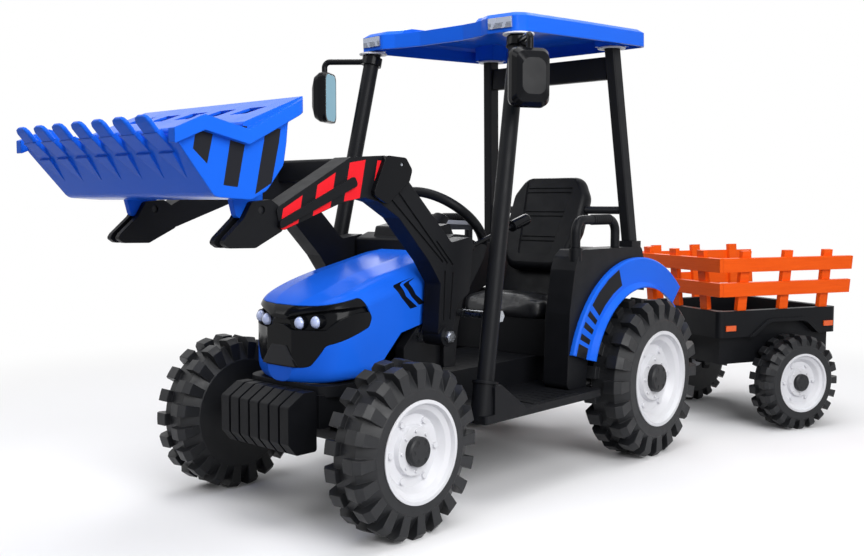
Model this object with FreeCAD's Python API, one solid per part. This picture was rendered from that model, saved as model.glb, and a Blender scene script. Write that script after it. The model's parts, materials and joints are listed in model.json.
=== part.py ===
import FreeCAD, Part
import math
import os

Vec = FreeCAD.Vector

# A child's ride-on tractor with a front loader, a canopy and a farm trailer.
# The front faces -Y, +X is the driver's left and +Z is up. The toy is laid out from the middle of
# the front axle on the ground, and the finished parts are moved to the middle of the whole toy.

# Fits shared by the whole toy
part_gap = 0.3              # between neighbours that do not move on each other
run_gap = 0.08              # radial play of a turning fit
overrun = 4.0               # how far a cutting shape passes the face that it cuts
wall = 4.0                  # moulded plastic wall
edge_round = 6.0            # corner radius of moulded outlines
corner_limit_share = 0.45   # most of an edge that one rounded corner may take
flat_bend = 89.0            # half angle above which a corner counts as straight
nut_sides = 6

# Wheels
wheel_base = 857.0
front_tyre_radius = 166.0
front_rim_radius = 98.0
front_tyre_width = 97.0
front_outer_half = 314.0
front_sidewall = 19.0
rear_tyre_radius = 195.0
rear_rim_radius = 118.0
rear_tyre_width = 110.0
rear_outer_half = 325.0
rear_sidewall = 26.0
trailer_tyre_radius = 131.0
trailer_rim_radius = 81.5
trailer_tyre_width = 79.0
trailer_outer_half = 270.0
trailer_sidewall = 20.0
tyre_wall = 6.0
lug_count = 20
lug_inset = 1.0
lug_root = 4.0
lug_height_share = 0.09
lug_fill_share = 0.5
lug_top_shares = (0.12, 0.55, 0.75)
tread_band_share = 0.22
shoulder_share = 0.22
axle_radius = 7.0
hub_radius = 20.0
rim_lip = 10.0
rim_dish_share = 0.26
rim_front_shares = ((0.08, 1.0), (0.08, 0.93), (-0.25, 0.9), (-0.45, 0.8), (-1.0, 0.7), (-1.0, 0.5),
                    (-0.62, 0.47))
rim_back_shares = ((1.0, 0.73), (0.45, 0.84))
rim_flare_share = 0.5
boss_count = 6
boss_shares = (0.62, 0.06, 0.22)
nub_count = 8
nub_shares = (0.39, 0.03, 0.12)
cap_shares = (0.29, 0.55)
cap_notch_count = 6
cap_notch_shares = (0.7, 0.17, 0.3)
axle_end_share = 0.22

# Chassis and footboards
beam_clearance = 24.0
chassis_depth = 65.0
chassis_half = 112.0
chassis_wall = 5.0
chassis_front = -72.0
chassis_tail = 98.0
skirt_depth = 17.0
skirt_half = 126.0
skirt_rear = 300.0
skirt_corner = 48.0
cheek_half = 124.0
cheek_width = 24.0
cheek_front = 150.0
cheek_rise = 108.0
foot_rise = 5.0
foot_depth = 17.0
foot_outer = 292.0
foot_front = 214.0
foot_ahead = 217.0
foot_pad = 2.0
foot_pad_inner = 192.0
foot_pad_length = 172.0
foot_slot_count = 6
foot_slot = 3.0
post_foot_rise = 24.0
gusset_inner = 236.0
gusset_rise = 60.0
gusset_flat = 20.0
gusset_length = 107.0
axle_boss_radius = 18.0

# Front axle and steering
kingpin_half = 199.0
kingpin_radius = 7.0
knuckle_radius = 13.0
knuckle_half_height = 18.5
fork_thickness = 12.0
beam_half_depth = 17.0
beam_half_height = 13.0
beam_pad_half = 80.0
steer_arm = 48.0
steer_arm_half = 6.0
steer_pin_radius = 4.0
steer_slot_play = 0.9
tie_rod_half_depth = 13.0
tie_rod_thickness = 6.0
tie_rod_lift = 6.5
tie_rod_end = 9.0
fork_prong = 6.0
fork_length = 36.0
steering_tilt = 42.0
steering_back = 397.0
steering_rise = 386.0
steering_radius = 112.0
steering_rim_radius = 11.0
steering_hub_radius = 30.0
steering_hub_depth = 26.0
spoke_half = 11.0
spoke_thickness = 12.0
spoke_angles = (0.0, 90.0, 180.0)
spoke_taper_share = 0.7
hub_taper_share = 0.8
shaft_radius = 8.0
crank_radius = 35.4
crank_ball = 6.0
crank_rod = 4.0
steering_turn = 35.0
wheel_turn = 25.0

# Hood, grille, lamps and front weight
hood_nose = -78.0
hood_rear = 262.0
hood_half = 133.0
hood_rise = 256.0
hood_stations_shares = ((0.0, 0.28, 0.53), (0.025, 0.44, 0.575), (0.06, 0.66, 0.612), (0.1, 0.82, 0.645),
                        (0.21, 0.985, 0.71), (0.41, 1.0, 0.805), (0.62, 1.0, 0.875), (0.82, 1.0, 0.935),
                        (1.0, 1.0, 0.99))
hood_section_shares = ((1.0, 0.0), (1.0, 0.78), (0.86, 0.946), (0.396, 0.988))
hood_round = 30.0
hood_sill_shares = ((0.3, 0.0), (0.3, 0.04), (0.45, 0.13), (0.62, 0.36), (0.87, 0.43), (1.1, 0.45), (1.1, 0.0))
mask_shares = ((-0.1, 0.12), (0.04, 0.12), (0.09, 0.3), (0.35, 0.422), (0.375, 0.496), (0.3, 0.656),
               (0.085, 0.598), (-0.1, 0.565))
mask_round = 12.0
mask_wall = 11.0
lamp_band_depth = 7.0
lamp_band_shares = ((0.0, 0.49), (0.15, 0.495), (0.28, 0.52), (0.565, 0.551), (1.1, 0.595), (0.78, 0.414),
                    (0.28, 0.41), (0.12, 0.445), (0.0, 0.45))
badge_shares = (0.13, 0.285, 0.16, 0.38)
badge_thickness = 5.0
headlight_radius = 10.0
headlight_half_spans = (50.0, 84.0)
headlight_rises = (119.0, 122.0)
headlight_backs = (-66.0, -54.0)
headlight_depth = 14.0
weight_half = 107.0
weight_front = -143.0
weight_rise = 118.0
weight_drop = 44.0
weight_plates = 7
weight_plate_share = 0.8
weight_core_inset = 7.0
weight_shares = ((0.0, 0.2), (0.0, 0.8), (0.55, 1.0), (1.0, 1.0), (1.0, 0.0), (0.28, 0.0))

# Dash console, lever and pedal
console_half = 135.0
console_rise = 273.0
console_length = 145.0
console_shares = ((0.0, 0.0), (0.0, 1.0), (0.26, 1.05), (0.48, 1.04), (0.8, 0.97), (1.0, 0.952), (0.94, 0.853),
                  (0.6, 0.62), (0.44, 0.52), (0.32, 0.3), (0.26, 0.0))
binnacle_half = 92.0
binnacle_shares = ((0.07, 0.965), (0.14, 1.1), (0.46, 1.13), (0.62, 0.97))
lever_back_share = 0.52
lever_rise_share = 0.98
lever_pin_radius = 5.0
lever_hub_radius = 10.0
lever_hub_width = 13.0
lever_reach = 203.0
lever_lift = 58.0
lever_rod = 5.0
lever_knob_radius = 13.0
lever_knob_length = 55.0
pedal_half = 28.0
pedal_length = 78.0
pedal_thickness = 7.0
pedal_angle = 48.0
pedal_side = 205.0
pedal_back = 372.0
pedal_pin_radius = 4.0
pedal_ear = 8.0
pedal_lift = 9.0
pedal_rib_count = 4

# Rear body, seat, fenders and handles
pod_inner = 180.0
pod_outer = 248.0
pod_ahead = 294.0
pod_length = 337.0
pod_rise = 323.0
pod_shares = ((0.0, 0.0), (0.024, 0.545), (0.08, 0.855), (0.115, 0.945), (0.19, 1.0), (0.955, 1.0),
              (1.0, 0.88), (1.0, 0.18), (0.9, 0.0))
pod_round = 14.0
arch_radius = 216.0
base_half = 184.0
base_ahead = 229.0
base_rise = 90.0
back_half = 108.0
back_block_length = 62.0
back_block_rise = 258.0
pillar_block_half = 21.0
pillar_block_rise = 14.0
cushion_half = 130.0
cushion_ahead = 237.0
cushion_length = 128.0
cushion_height = 48.0
cushion_scale_shares = ((0.0, 0.93), (0.18, 0.985), (0.5, 1.0), (0.8, 0.975), (1.0, 0.87))
cushion_corner = 34.0
backrest_half = 116.0
backrest_height = 255.0
backrest_depth = 42.0
backrest_lean = 22.0
backrest_ahead = 106.0
backrest_rise = 207.0
backrest_shares = ((-0.76, 0.0), (0.76, 0.0), (1.0, 0.42), (1.0, 0.8), (0.74, 1.0), (-0.74, 1.0), (-1.0, 0.8),
                   (-1.0, 0.42))
backrest_scale_shares = ((0.0, 0.9), (0.3, 0.99), (0.7, 1.0), (1.0, 0.95))
backrest_panel_shares = ((-0.44, 0.14), (0.44, 0.14), (0.5, 0.36), (0.62, 0.78), (0.7, 1.1), (-0.7, 1.1),
                         (-0.62, 0.78), (-0.5, 0.36))
backrest_panel = 4.0
backrest_grooves_shares = ((0.28, 0.45), (0.55, 0.53), (0.81, 0.6))
backrest_groove = 3.0
backrest_groove_pitch = 12.0
backrest_corner = 36.0
fender_gap_radius = 222.0
fender_radius = 297.0
fender_width = 14.0
fender_lip = 13.0
fender_start = 46.0
fender_sweep = 118.0
handle_side = 234.0
handle_radius = 11.0
handle_ahead = 245.0
handle_length = 170.0
handle_height = 69.0
handle_bend = 36.0
handle_boss = 15.0
handle_boss_height = 26.0
grip_rib_count = 9
grip_rib = 1.5
grip_rib_pitch = 9.0
grip_place_share = 0.6

# Canopy
front_post_radius = 18.5
front_post_foot = (261.0, 243.0)
front_post_head = (221.5, 404.0)
front_post_socket = 42.0
front_post_collar = 6.0
rear_post_half_width = 13.0
rear_post_half_depth = 18.0
rear_post_foot_half = 222.0
rear_post_head_half = 191.0
rear_post_behind = 11.0
roof_tail = 84.0
post_round = 4.0
crossbar_height = 56.0
crossbar_depth = 22.0
crossbar_rise_share = 0.87
seat_stay_radius = 10.0
seat_stay_share = 0.62
seat_stay_gap = 1.2
post_stay_radius = 8.0
post_stay_rise = 198.0
post_stay_nut = 13.0
post_stay_nut_length = 8.0
roof_front = 372.0
roof_length = 534.0
roof_half = 250.0
roof_rise = 800.0
roof_height = 46.0
roof_tilt = 2.6
roof_skin = 5.0
roof_outline_shares = ((0.53, 0.03), (0.64, 0.0), (0.93, 0.012), (0.985, 0.06), (1.0, 0.5), (0.995, 0.95),
                       (0.94, 0.992), (0.5, 1.0))
roof_front_edge_share = 0.06
roof_layers_shares = ((0.0, 1.0), (0.72, 1.0), (0.9, 0.955), (1.0, 0.84))
roof_round = 16.0
roof_dip = 16.0
roof_dip_shares = (0.45, 0.3)
roof_boss = 30.0
post_seat = 14.0
roof_lamp_thickness = 4.0
roof_lamp_shares = (0.08, 0.9, 0.18, 0.68)
mirror_ring_rise_share = 0.972
mirror_ring_wall = 6.0
mirror_ring_height = 20.0
mirror_swing = 20.0
mirror_side = 315.0
mirror_back = 323.0
mirror_half_width = 43.0
mirror_height = 122.0
mirror_depth = 40.0
mirror_toe = 60.0
mirror_round = 18.0
mirror_arm_radius = 7.0
mirror_arm_bend = 18.0
mirror_arm_share = 0.6
mirror_drop = 26.0
mirror_glass = 2.0
mirror_frame = 5.0
mirror_scale_shares = ((0.0, 0.6), (0.18, 0.84), (0.5, 0.97), (0.8, 1.0), (1.0, 0.98))

# Loader
loader_back = 207.0
loader_rise = 161.0
arm_inner = 143.0
arm_outer = 188.0
arm_wall = 5.0
arm_round = 10.0
boom_reach = 470.0
boom_rise = 365.0
hook_rise = 262.0
arm_shares = ((0.94, 0.726), (0.564, 0.984), (0.379, 1.0), (0.272, 0.986), (0.238, 0.929), (0.234, 0.868),
              (-0.04, 0.53), (-0.19, 0.56), (-0.165, 0.235), (-0.085, 0.18), (-0.043, 0.0), (0.048, 0.0),
              (0.03, 0.3), (0.105, 0.43), (0.291, 0.672), (0.41, 0.757), (0.49, 0.78), (0.617, 0.751), (0.919, 0.614))
hook_shares = ((0.9, 0.62), (1.03, 0.54), (1.145, 0.543), (1.172, 0.566), (1.158, 0.592), (1.079, 0.68),
               (1.043, 0.757), (0.957, 0.767), (0.9, 0.72))
hook_plate = 12.0
hook_outer = 184.0
groove_depth = 3.0
groove_width = 5.0
groove_shares = (((0.34, 0.77), (0.017, 0.42)), ((0.3, 0.81), (-0.014, 0.41)), ((0.002, 0.37), (0.012, 0.09)),
                 ((0.06, 0.54), (-0.05, 0.4)), ((-0.05, 0.36), (-0.03, 0.09)))
side_bar_shares = ((0.93, 0.667), (0.93, 0.625), (0.533, 0.84), (0.552, 0.887))
side_bar = 5.0
elbow_shares = ((0.385, 1.0), (0.272, 0.992), (0.234, 0.929), (0.25, 0.868), (0.379, 0.745), (0.462, 0.795))
elbow_thickness = 10.0
elbow_screw_share = (0.295, 0.955)
elbow_screw = 4.0
beam_shares = ((0.355, 0.87), (0.355, 1.0), (0.245, 0.985), (0.245, 0.87))
pivot_boss = 21.0
pivot_boss_width = 53.0
pivot_tube = 19.0
pivot_rod = 9.0
pivot_end = 12.0
pivot_head = 25.0
pivot_nut = 12.7
pivot_nut_length = 9.0
hook_pin_radius = 7.0
hook_pin_sink = 4.0
boom_drop = 42.0
bucket_curl = 38.0
bucket_half = 240.0
bucket_depth = 217.0
bucket_height = 187.0
bucket_wall = 5.0
bucket_round = 22.0
bucket_draft = 10.0
bucket_knee_share = 0.6
bucket_shares = ((1.0, 0.652), (0.6, 0.112), (0.267, 0.091), (0.124, 0.176), (-0.023, 0.401), (-0.06, 0.802),
                 (-0.22, 0.975), (-0.22, 1.035), (0.378, 0.749), (0.355, 0.668), (0.747, 0.77))
bucket_mouth_shares = ((1.2, 0.75), (1.02, 0.64), (0.747, 0.6), (0.355, 0.5), (0.378, 0.775), (0.55, 1.2))
bucket_flange = 14.0
bucket_flange_height = 24.0
bucket_flange_shares = ((1.0, 0.665), (0.747, 0.79), (0.355, 0.69), (-0.22, 1.03))
bucket_corner = 26.0
bucket_slot_count = 5
bucket_slot_pitch = 84.0
bucket_slot_length = 46.0
bucket_slot_shares = (0.36, 0.04)
bucket_slot_slant = 8.0
tooth_count = 7
tooth_pitch = 64.7
tooth_width = 44.0
tooth_reach = 30.0
tooth_thickness = 7.0
tooth_round = 4.0
finger_shares = ((0.0, 0.88), (0.7, 0.88), (0.92, 0.72), (1.0, 0.44))
tooth_steps_shares = ((0.3, 0.06, 0.05), (0.7, 0.9, 0.7), (0.7, 0.85, 0.2), (1.0, 1.0, 1.0))
tab_gap = 2.0
tab_shares = ((0.26, 0.2), (0.2, -0.06), (0.15, -0.08), (0.1, -0.02), (0.02, -0.08), (-0.06, -0.05), (-0.06, 0.4),
              (0.12, 0.5))

# Trailer
hitch_reach = 57.0
hitch_rise = 10.0
hitch_plate = 8.0
hitch_half = 28.0
hitch_pin_radius = 8.0
hitch_clip_radius = 5.0
hitch_clip_length = 20.0
hitch_flange_half = 40.0
trailer_swing = -24.4
drawbar_length = 537.5
drawbar_half = 14.0
drawbar_depth = 16.0
drawbar_eye = 20.0
tub_front = 301.0
tub_length = 421.0
tub_half = 200.0
tub_top = 331.0
tub_depth = 73.0
tub_floor = 62.0
tub_side = 24.0
tub_corner = 18.0
under_half = 180.0
under_inset = 17.0
under_depth = 75.0
trailer_arch_shares = ((-1.371, -0.6), (-0.5, 0.52), (0.5, 0.52), (1.278, -0.6))
trailer_arch_lift_shares = (0.0, 1.0, 1.0, 0.0)
trailer_arch_span = 130.0
trailer_arch_lip = 10.0
trailer_arch_proud = 5.0
trailer_arch_round = 48.0
axle_plate = 10.0
axle_plate_half = 22.0
axle_plate_place_share = 0.8
post_width = 30.0
post_thickness = 12.0
post_height = 166.0
rail_height = 38.0
rail_thickness = 12.0
rail_rises = (42.0, 110.0)
rail_overhang = 36.0
fence_inset = 14.0
fence_lean = 6.0
side_posts_shares = (0.19, 0.54, 0.885)
front_posts_shares = (-0.65, 0.0, 0.65)
reflector_length = 34.0
reflector_height = 15.0
reflector_thickness = 3.0
reflector_rise_share = 0.36
reflector_places_shares = (0.09, 0.92)

# Drive
motor_width = 76.0
motor_length = 120.0
motor_height = 84.0
motor_can_radius = 26.0
motor_can_length = 70.0
battery_half = 75.0
battery_ahead = 195.0
battery_length = 120.0
battery_height = 70.0

# Heights and axes that several pieces share
front_axle_height = front_tyre_radius
rear_axle_height = rear_tyre_radius
datum = front_axle_height + beam_clearance
chassis_top = datum + chassis_depth
skirt_top = chassis_top + skirt_depth
foot_top = datum + foot_rise
foot_rear = wheel_base - foot_ahead
chassis_rear = wheel_base + chassis_tail
hitch_back = chassis_rear + hitch_reach
pod_front = wheel_base - pod_ahead
base_front = wheel_base - base_ahead
cushion_front = wheel_base - cushion_ahead
backrest_back = wheel_base - backrest_ahead
handle_front = wheel_base - handle_ahead
battery_front = wheel_base - battery_ahead
rear_post_foot = (rear_post_foot_half, wheel_base + rear_post_behind)
rear_post_head = (rear_post_head_half, roof_front + roof_length - roof_tail)
seat_top = chassis_top + base_rise
pod_top = foot_top + pod_rise
pivot_height = datum + loader_rise
pin_back = loader_back - boom_reach
pin_height = pivot_height + hook_rise
hitch_height = datum + hitch_rise
roof_base = datum + roof_rise
tilt = math.radians(steering_tilt)
steering_hub = Vec(0, steering_back, datum + steering_rise)
steering_axis = Vec(0, math.sin(tilt), math.cos(tilt))


# Building blocks
def rounded_wire(points, radius=0.0, closed=True):
    count = len(points)
    starts = []
    ends = []
    arcs = []
    for i, corner in enumerate(points):
        bend = radius > 0 and (closed or 0 < i < count - 1)
        before = points[i - 1] - corner
        after = points[(i + 1) % count] - corner
        half = before.getAngle(after) / 2 if bend else 0
        if not bend or half > math.radians(flat_bend):
            starts.append(corner)
            ends.append(corner)
            arcs.append(None)
            continue
        setback = min(radius / math.tan(half), corner_limit_share * min(before.Length, after.Length))
        reach = setback / math.cos(half)
        inward = (before.normalize() + after.normalize()).normalize()
        start = corner + before * setback
        end = corner + after * setback
        middle = corner + inward * (reach - setback * math.tan(half))
        starts.append(start)
        ends.append(end)
        arcs.append(Part.Arc(start, middle, end).toShape())
    edges = []
    for i in range(count):
        if arcs[i]:
            edges.append(arcs[i])
        if closed or i < count - 1:
            edges.append(Part.makeLine(ends[i], starts[(i + 1) % count]))
    return Part.Wire(edges)


def prism_x(outline, x0, x1, radius=0.0):
    face = Part.Face(rounded_wire([Vec(x0, y, z) for y, z in outline], radius))
    return face.extrude(Vec(x1 - x0, 0, 0))


def prism_y(outline, y0, y1, radius=0.0):
    face = Part.Face(rounded_wire([Vec(x, y0, z) for x, z in outline], radius))
    return face.extrude(Vec(0, y1 - y0, 0))


def prism_z(outline, z0, z1, radius=0.0):
    face = Part.Face(rounded_wire([Vec(x, y, z0) for x, y in outline], radius))
    return face.extrude(Vec(0, 0, z1 - z0))


def inner_prism_x(outline, x0, x1, radius, thickness):
    face = Part.Face(rounded_wire([Vec(x0, y, z) for y, z in outline], radius)).makeOffset2D(-thickness)
    return face.extrude(Vec(x1 - x0, 0, 0))


def box(x0, x1, y0, y1, z0, z1):
    return Part.makeBox(x1 - x0, y1 - y0, z1 - z0, Vec(x0, y0, z0))


def rod(start, end, radius):
    return Part.makeCylinder(radius, (end - start).Length, start, end - start)


def rod_x(x0, x1, y, z, radius):
    return rod(Vec(x0, y, z), Vec(x1, y, z), radius)


def rod_z(x, y, z0, z1, radius):
    return rod(Vec(x, y, z0), Vec(x, y, z1), radius)


def hex_x(x0, x1, y, z, radius):
    turns = [math.tau * i / nut_sides for i in range(nut_sides)]
    return prism_x([(y + radius * math.cos(a), z + radius * math.sin(a)) for a in turns], x0, x1)


def turned_x(section):
    face = Part.Face(rounded_wire([Vec(x, r, 0) for x, r in section]))
    return face.revolve(Vec(0, 0, 0), Vec(1, 0, 0), 360)


def bent_tube(points, radius, bend):
    runs = []
    for edge in rounded_wire(points, bend, closed=False).Edges:
        start = edge.valueAt(edge.FirstParameter)
        if isinstance(edge.Curve, Part.Circle):
            disc = Part.Face(Part.Wire(Part.makeCircle(radius, start, edge.tangentAt(edge.FirstParameter))))
            sweep = math.degrees(edge.LastParameter - edge.FirstParameter)
            runs.append(disc.revolve(edge.Curve.Center, edge.Curve.Axis, sweep))
        else:
            runs.append(rod(start, edge.valueAt(edge.LastParameter), radius))
    return fused(runs)


def loft(wires, ruled=False):
    return Part.makeLoft(wires, True, ruled)


def fused(shapes):
    return shapes[0].multiFuse(shapes[1:]).removeSplitter()


def mirrored(shape):
    return shape.mirror(Vec(0, 0, 0), Vec(1, 0, 0))


def both_sides(shape):
    return [shape, mirrored(shape)]


def placed(shares, y0, z0, length, height):
    return [(y0 + along * length, z0 + up * height) for along, up in shares]


def turned(shape, centre, axis, degrees):
    copy = shape.copy()
    copy.rotate(centre, axis, degrees)
    return copy


# Wheels, made with their outer face on x = 0 and their axle along X
def tyre(radius, rim, width, sidewall):
    lug = radius * lug_height_share
    crown = radius - lug
    side = rim + sidewall
    shoulder = width * shoulder_share
    bore = rim + part_gap
    hub = hub_radius + part_gap
    inner_shoulder = shoulder + tyre_wall / 2
    inner_crown = crown - tyre_wall
    section = [(0, bore), (0, side), (-shoulder, crown), (shoulder - width, crown), (-width, side), (-width, hub),
               (tyre_wall - width, hub), (tyre_wall - width, side - tyre_wall), (inner_shoulder - width, inner_crown),
               (-inner_shoulder, inner_crown), (-tyre_wall, side - tyre_wall), (-tyre_wall, bore)]
    drop, crest, flank = lug_top_shares
    root = crown - lug_root / 2
    middle = (1 - tread_band_share) * width / 2
    outline = [(-middle, root), (-middle, radius - lug * drop), (-shoulder * crest, radius),
               (-lug_inset, radius - lug * flank), (-lug_inset, side - lug_inset), (-lug_root, side - lug_inset),
               (-shoulder - lug_inset, root)]
    face = Part.Face(rounded_wire([Vec(x, r, 0) for x, r in outline]))
    pitch = 360 / lug_count
    first = turned(face.revolve(Vec(0, 0, 0), Vec(1, 0, 0), pitch * lug_fill_share), Vec(0, 0, 0), Vec(1, 0, 0),
                   -pitch * lug_fill_share / 2)
    other = first.mirror(Vec(-width / 2, 0, 0), Vec(1, 0, 0))
    lugs = []
    for i in range(lug_count):
        lugs.append(turned(first, Vec(0, 0, 0), Vec(1, 0, 0), i * pitch))
        lugs.append(turned(other, Vec(0, 0, 0), Vec(1, 0, 0), (i + 0.5) * pitch))
    return turned_x(section).multiFuse(lugs)


def ring_of(shape, count):
    return [turned(shape, Vec(0, 0, 0), Vec(1, 0, 0), 360 * i / count) for i in range(count)]


def rim_and_cap(rim, width):
    depth = width * rim_dish_share
    bore = axle_radius + run_gap
    front = [(x * depth, r * rim) for x, r in rim_front_shares]
    hub_face = front[-1][0]
    back = [(-x * depth - rim_wall_at(x), r * rim) for x, r in rim_back_shares]
    section = front + [(hub_face, bore), (-width, bore), (-width, hub_radius), (back[0][0], hub_radius)] + back
    section += [(-rim_lip, front[2][1] + wall), (-rim_lip, rim)]
    place, size, rise = boss_shares
    boss = rod_x(-depth - lug_inset, depth * (rise - 1), place * rim, 0, size * rim)
    nub_place, nub_size, nub_rise = nub_shares
    nub = rod_x(hub_face - lug_inset, hub_face + nub_rise * depth, nub_place * rim, 0, nub_size * rim)
    solid = fused([turned_x(section)] + ring_of(boss, boss_count) + ring_of(nub, nub_count))
    cap_radius = cap_shares[0] * rim
    cap_height = cap_shares[1] * depth
    chamfer = cap_height / 4
    seat = hub_face + part_gap
    top = seat + cap_height
    pocket = axle_radius + wall
    cap = turned_x([(seat, pocket), (seat, cap_radius), (top - chamfer, cap_radius), (top, cap_radius - chamfer),
                    (top, 0), (top - chamfer, 0), (top - chamfer, pocket)])
    notch_place, notch_size, notch_depth = cap_notch_shares
    notch = rod_x(top - notch_depth * chamfer, top + overrun, notch_place * cap_radius, 0, notch_size * cap_radius)
    return solid, cap.cut(Part.makeCompound(ring_of(notch, cap_notch_count)))


def rim_wall_at(share):
    return wall * (1 + rim_flare_share * (1 - share))


def axle_end(width):
    return width * rim_dish_share * (rim_front_shares[-1][0] + axle_end_share)


def wheel(radius, rim, width, sidewall):
    solid, cap = rim_and_cap(rim, width)
    return Part.makeCompound([tyre(radius, rim, width, sidewall), cap]), solid


def put(shape, x, y, z):
    copy = shape.copy()
    copy.translate(Vec(x, y, z))
    return copy


# Chassis channel with footboards, loader cheeks and the sockets of the front posts
def front_post_axis():
    foot = Vec(*front_post_foot, foot_top + post_foot_rise)
    head = Vec(*front_post_head, roof_base)
    return foot, head


def front_post_at(height):
    foot, head = front_post_axis()
    return foot + (head - foot) * ((height - foot.z) / (head.z - foot.z))


def chassis():
    inner = chassis_half - chassis_wall
    channel = box(-chassis_half, chassis_half, chassis_front, chassis_rear, datum, chassis_top)
    hollow = box(-inner, inner, chassis_front + chassis_wall, chassis_rear - chassis_wall, datum - overrun,
                 chassis_top - chassis_wall)
    beam_plate = box(-inner - part_gap, inner + part_gap, -2 * beam_half_depth, 2 * beam_half_depth, datum,
                     datum + chassis_wall)
    skirt = prism_z([(-skirt_half, chassis_front), (skirt_half, chassis_front), (skirt_half, skirt_rear),
                     (-skirt_half, skirt_rear)], chassis_top - chassis_wall, skirt_top, skirt_corner)
    axle_boss = rod_x(-chassis_half, chassis_half, wheel_base, rear_axle_height, axle_boss_radius)
    cheek_top = skirt_top + cheek_rise
    slope = cheek_rise / 2
    cheek = prism_x([(cheek_front, skirt_top - wall), (cheek_front, skirt_top + slope),
                     (cheek_front + slope, cheek_top), (hood_rear, cheek_top), (hood_rear, skirt_top - wall)],
                    cheek_half - cheek_width, cheek_half, edge_round)
    pieces = [channel.cut(hollow), beam_plate, skirt, axle_boss] + both_sides(cheek)
    pieces += both_sides(footboard())
    pieces += pedal_ears()
    solid = fused(pieces)
    solid = solid.cut(rod_x(-overrun - cheek_half, cheek_half + overrun, loader_back, pivot_height,
                            pivot_tube + part_gap))
    solid = solid.cut(rod_x(-overrun - chassis_half, chassis_half + overrun, wheel_base, rear_axle_height,
                            axle_radius + part_gap))
    return solid.cut(rod(shaft_foot(), steering_hub, shaft_radius + wall))


def footboard():
    base = foot_top - foot_depth
    inner = chassis_half - chassis_wall
    board = prism_z([(inner, foot_front), (foot_outer, foot_front), (foot_outer, foot_rear), (inner, foot_rear)],
                    base, foot_top, edge_round)
    back = front_post_foot[1]
    ridge = foot_top + gusset_rise
    gusset = prism_x([(back, base), (back, ridge), (back + gusset_flat, ridge), (back + gusset_length, foot_top),
                      (back + gusset_length, base)], gusset_inner, foot_outer, edge_round)
    pad_rear = pod_front - wall
    pad_front = pad_rear - foot_pad_length
    pad_outer = foot_outer - edge_round
    pad = prism_z([(foot_pad_inner, pad_front), (pad_outer, pad_front), (pad_outer, pad_rear),
                   (foot_pad_inner, pad_rear)], foot_top - foot_pad, foot_top + foot_pad, edge_round)
    pitch = foot_pad_length / (foot_slot_count + 1)
    slots = []
    for i in range(foot_slot_count):
        middle = pad_front + (i + 1) * pitch
        slots.append(box(foot_pad_inner + edge_round, pad_outer - edge_round, middle - foot_slot / 2,
                         middle + foot_slot / 2, foot_top, foot_top + overrun))
    foot, head = front_post_axis()
    along = (head - foot).normalize()
    socket = rod(foot - along * (foot_depth + post_foot_rise), foot + along * front_post_socket,
                 front_post_radius + front_post_collar)
    collar = rod(foot + along * (front_post_socket - front_post_collar), foot + along * front_post_socket,
                 front_post_radius + front_post_collar + front_post_collar / 2)
    bore = rod(foot, foot + along * (front_post_socket + overrun), front_post_radius + part_gap)
    solid = fused([board, gusset, pad, socket, collar])
    return solid.cut(Part.makeCompound(slots)).cut(bore)


# Steering and front axle
def shaft_foot():
    return steering_hub - steering_axis * shaft_length()


def rod_height():
    return front_axle_height + steer_arm_half + tie_rod_lift


def shaft_length():
    drop = steering_hub.z - crank_radius * math.sin(tilt) - rod_height()
    return drop / math.cos(tilt)


def crank_place():
    return shaft_foot() + Vec(0, math.cos(tilt), -math.sin(tilt)) * crank_radius


def steering_wheel():
    flat = Part.makeTorus(steering_radius, steering_rim_radius)
    hub = Part.makeCone(steering_hub_radius, steering_hub_radius * hub_taper_share, steering_hub_depth,
                        Vec(0, 0, -steering_hub_depth / 2))
    spoke_end = spoke_half * spoke_taper_share
    spoke = prism_z([(0, -spoke_half), (0, spoke_half), (steering_radius, spoke_end), (steering_radius, -spoke_end)],
                    -spoke_thickness / 2, spoke_thickness / 2)
    solid = fused([flat, hub] + [turned(spoke, Vec(0, 0, 0), Vec(0, 0, 1), a) for a in spoke_angles])
    solid = solid.cut(Part.makeCylinder(shaft_radius + part_gap, steering_hub_depth, Vec(0, 0, -steering_hub_depth)))
    solid.rotate(Vec(0, 0, 0), Vec(1, 0, 0), -steering_tilt)
    solid.translate(steering_hub)
    return solid


def steering_shaft():
    foot = shaft_foot()
    ball = crank_place()
    column = rod(foot, steering_hub - steering_axis * part_gap, shaft_radius)
    return fused([column, Part.makeSphere(shaft_radius, foot), rod(foot, ball, crank_rod),
                  Part.makeSphere(crank_ball, ball)])


def front_axle_beam():
    height = front_axle_height
    web_end = kingpin_half - knuckle_radius - wall
    lug_top = knuckle_half_height + fork_thickness
    beam = prism_x([(-beam_half_depth, height - beam_half_height), (beam_half_depth, height - beam_half_height),
                    (beam_half_depth, height + beam_half_height), (-beam_half_depth, height + beam_half_height)],
                   -web_end, web_end, edge_round)
    pad = box(-beam_pad_half, beam_pad_half, -beam_half_depth, beam_half_depth, height, datum - part_gap)
    solids = [beam, pad]
    for low in (knuckle_half_height + part_gap, -lug_top):
        high = low + fork_thickness - (part_gap if low > 0 else 2 * part_gap)
        eye = rod_z(kingpin_half, 0, height + low, height + high, kingpin_radius * 2)
        strap = box(web_end - beam_half_depth, kingpin_half, -kingpin_radius * 2, kingpin_radius * 2, height + low,
                    height + high)
        solids += both_sides(fused([eye, strap]))
    web = box(web_end - beam_half_depth, web_end, -kingpin_radius * 2, kingpin_radius * 2, height - lug_top,
              height + lug_top - part_gap)
    solid = fused(solids + both_sides(web))
    bore = rod_z(kingpin_half, 0, height - lug_top - overrun, height + lug_top + overrun, kingpin_radius + run_gap)
    return solid.cut(Part.makeCompound(both_sides(bore)))


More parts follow.
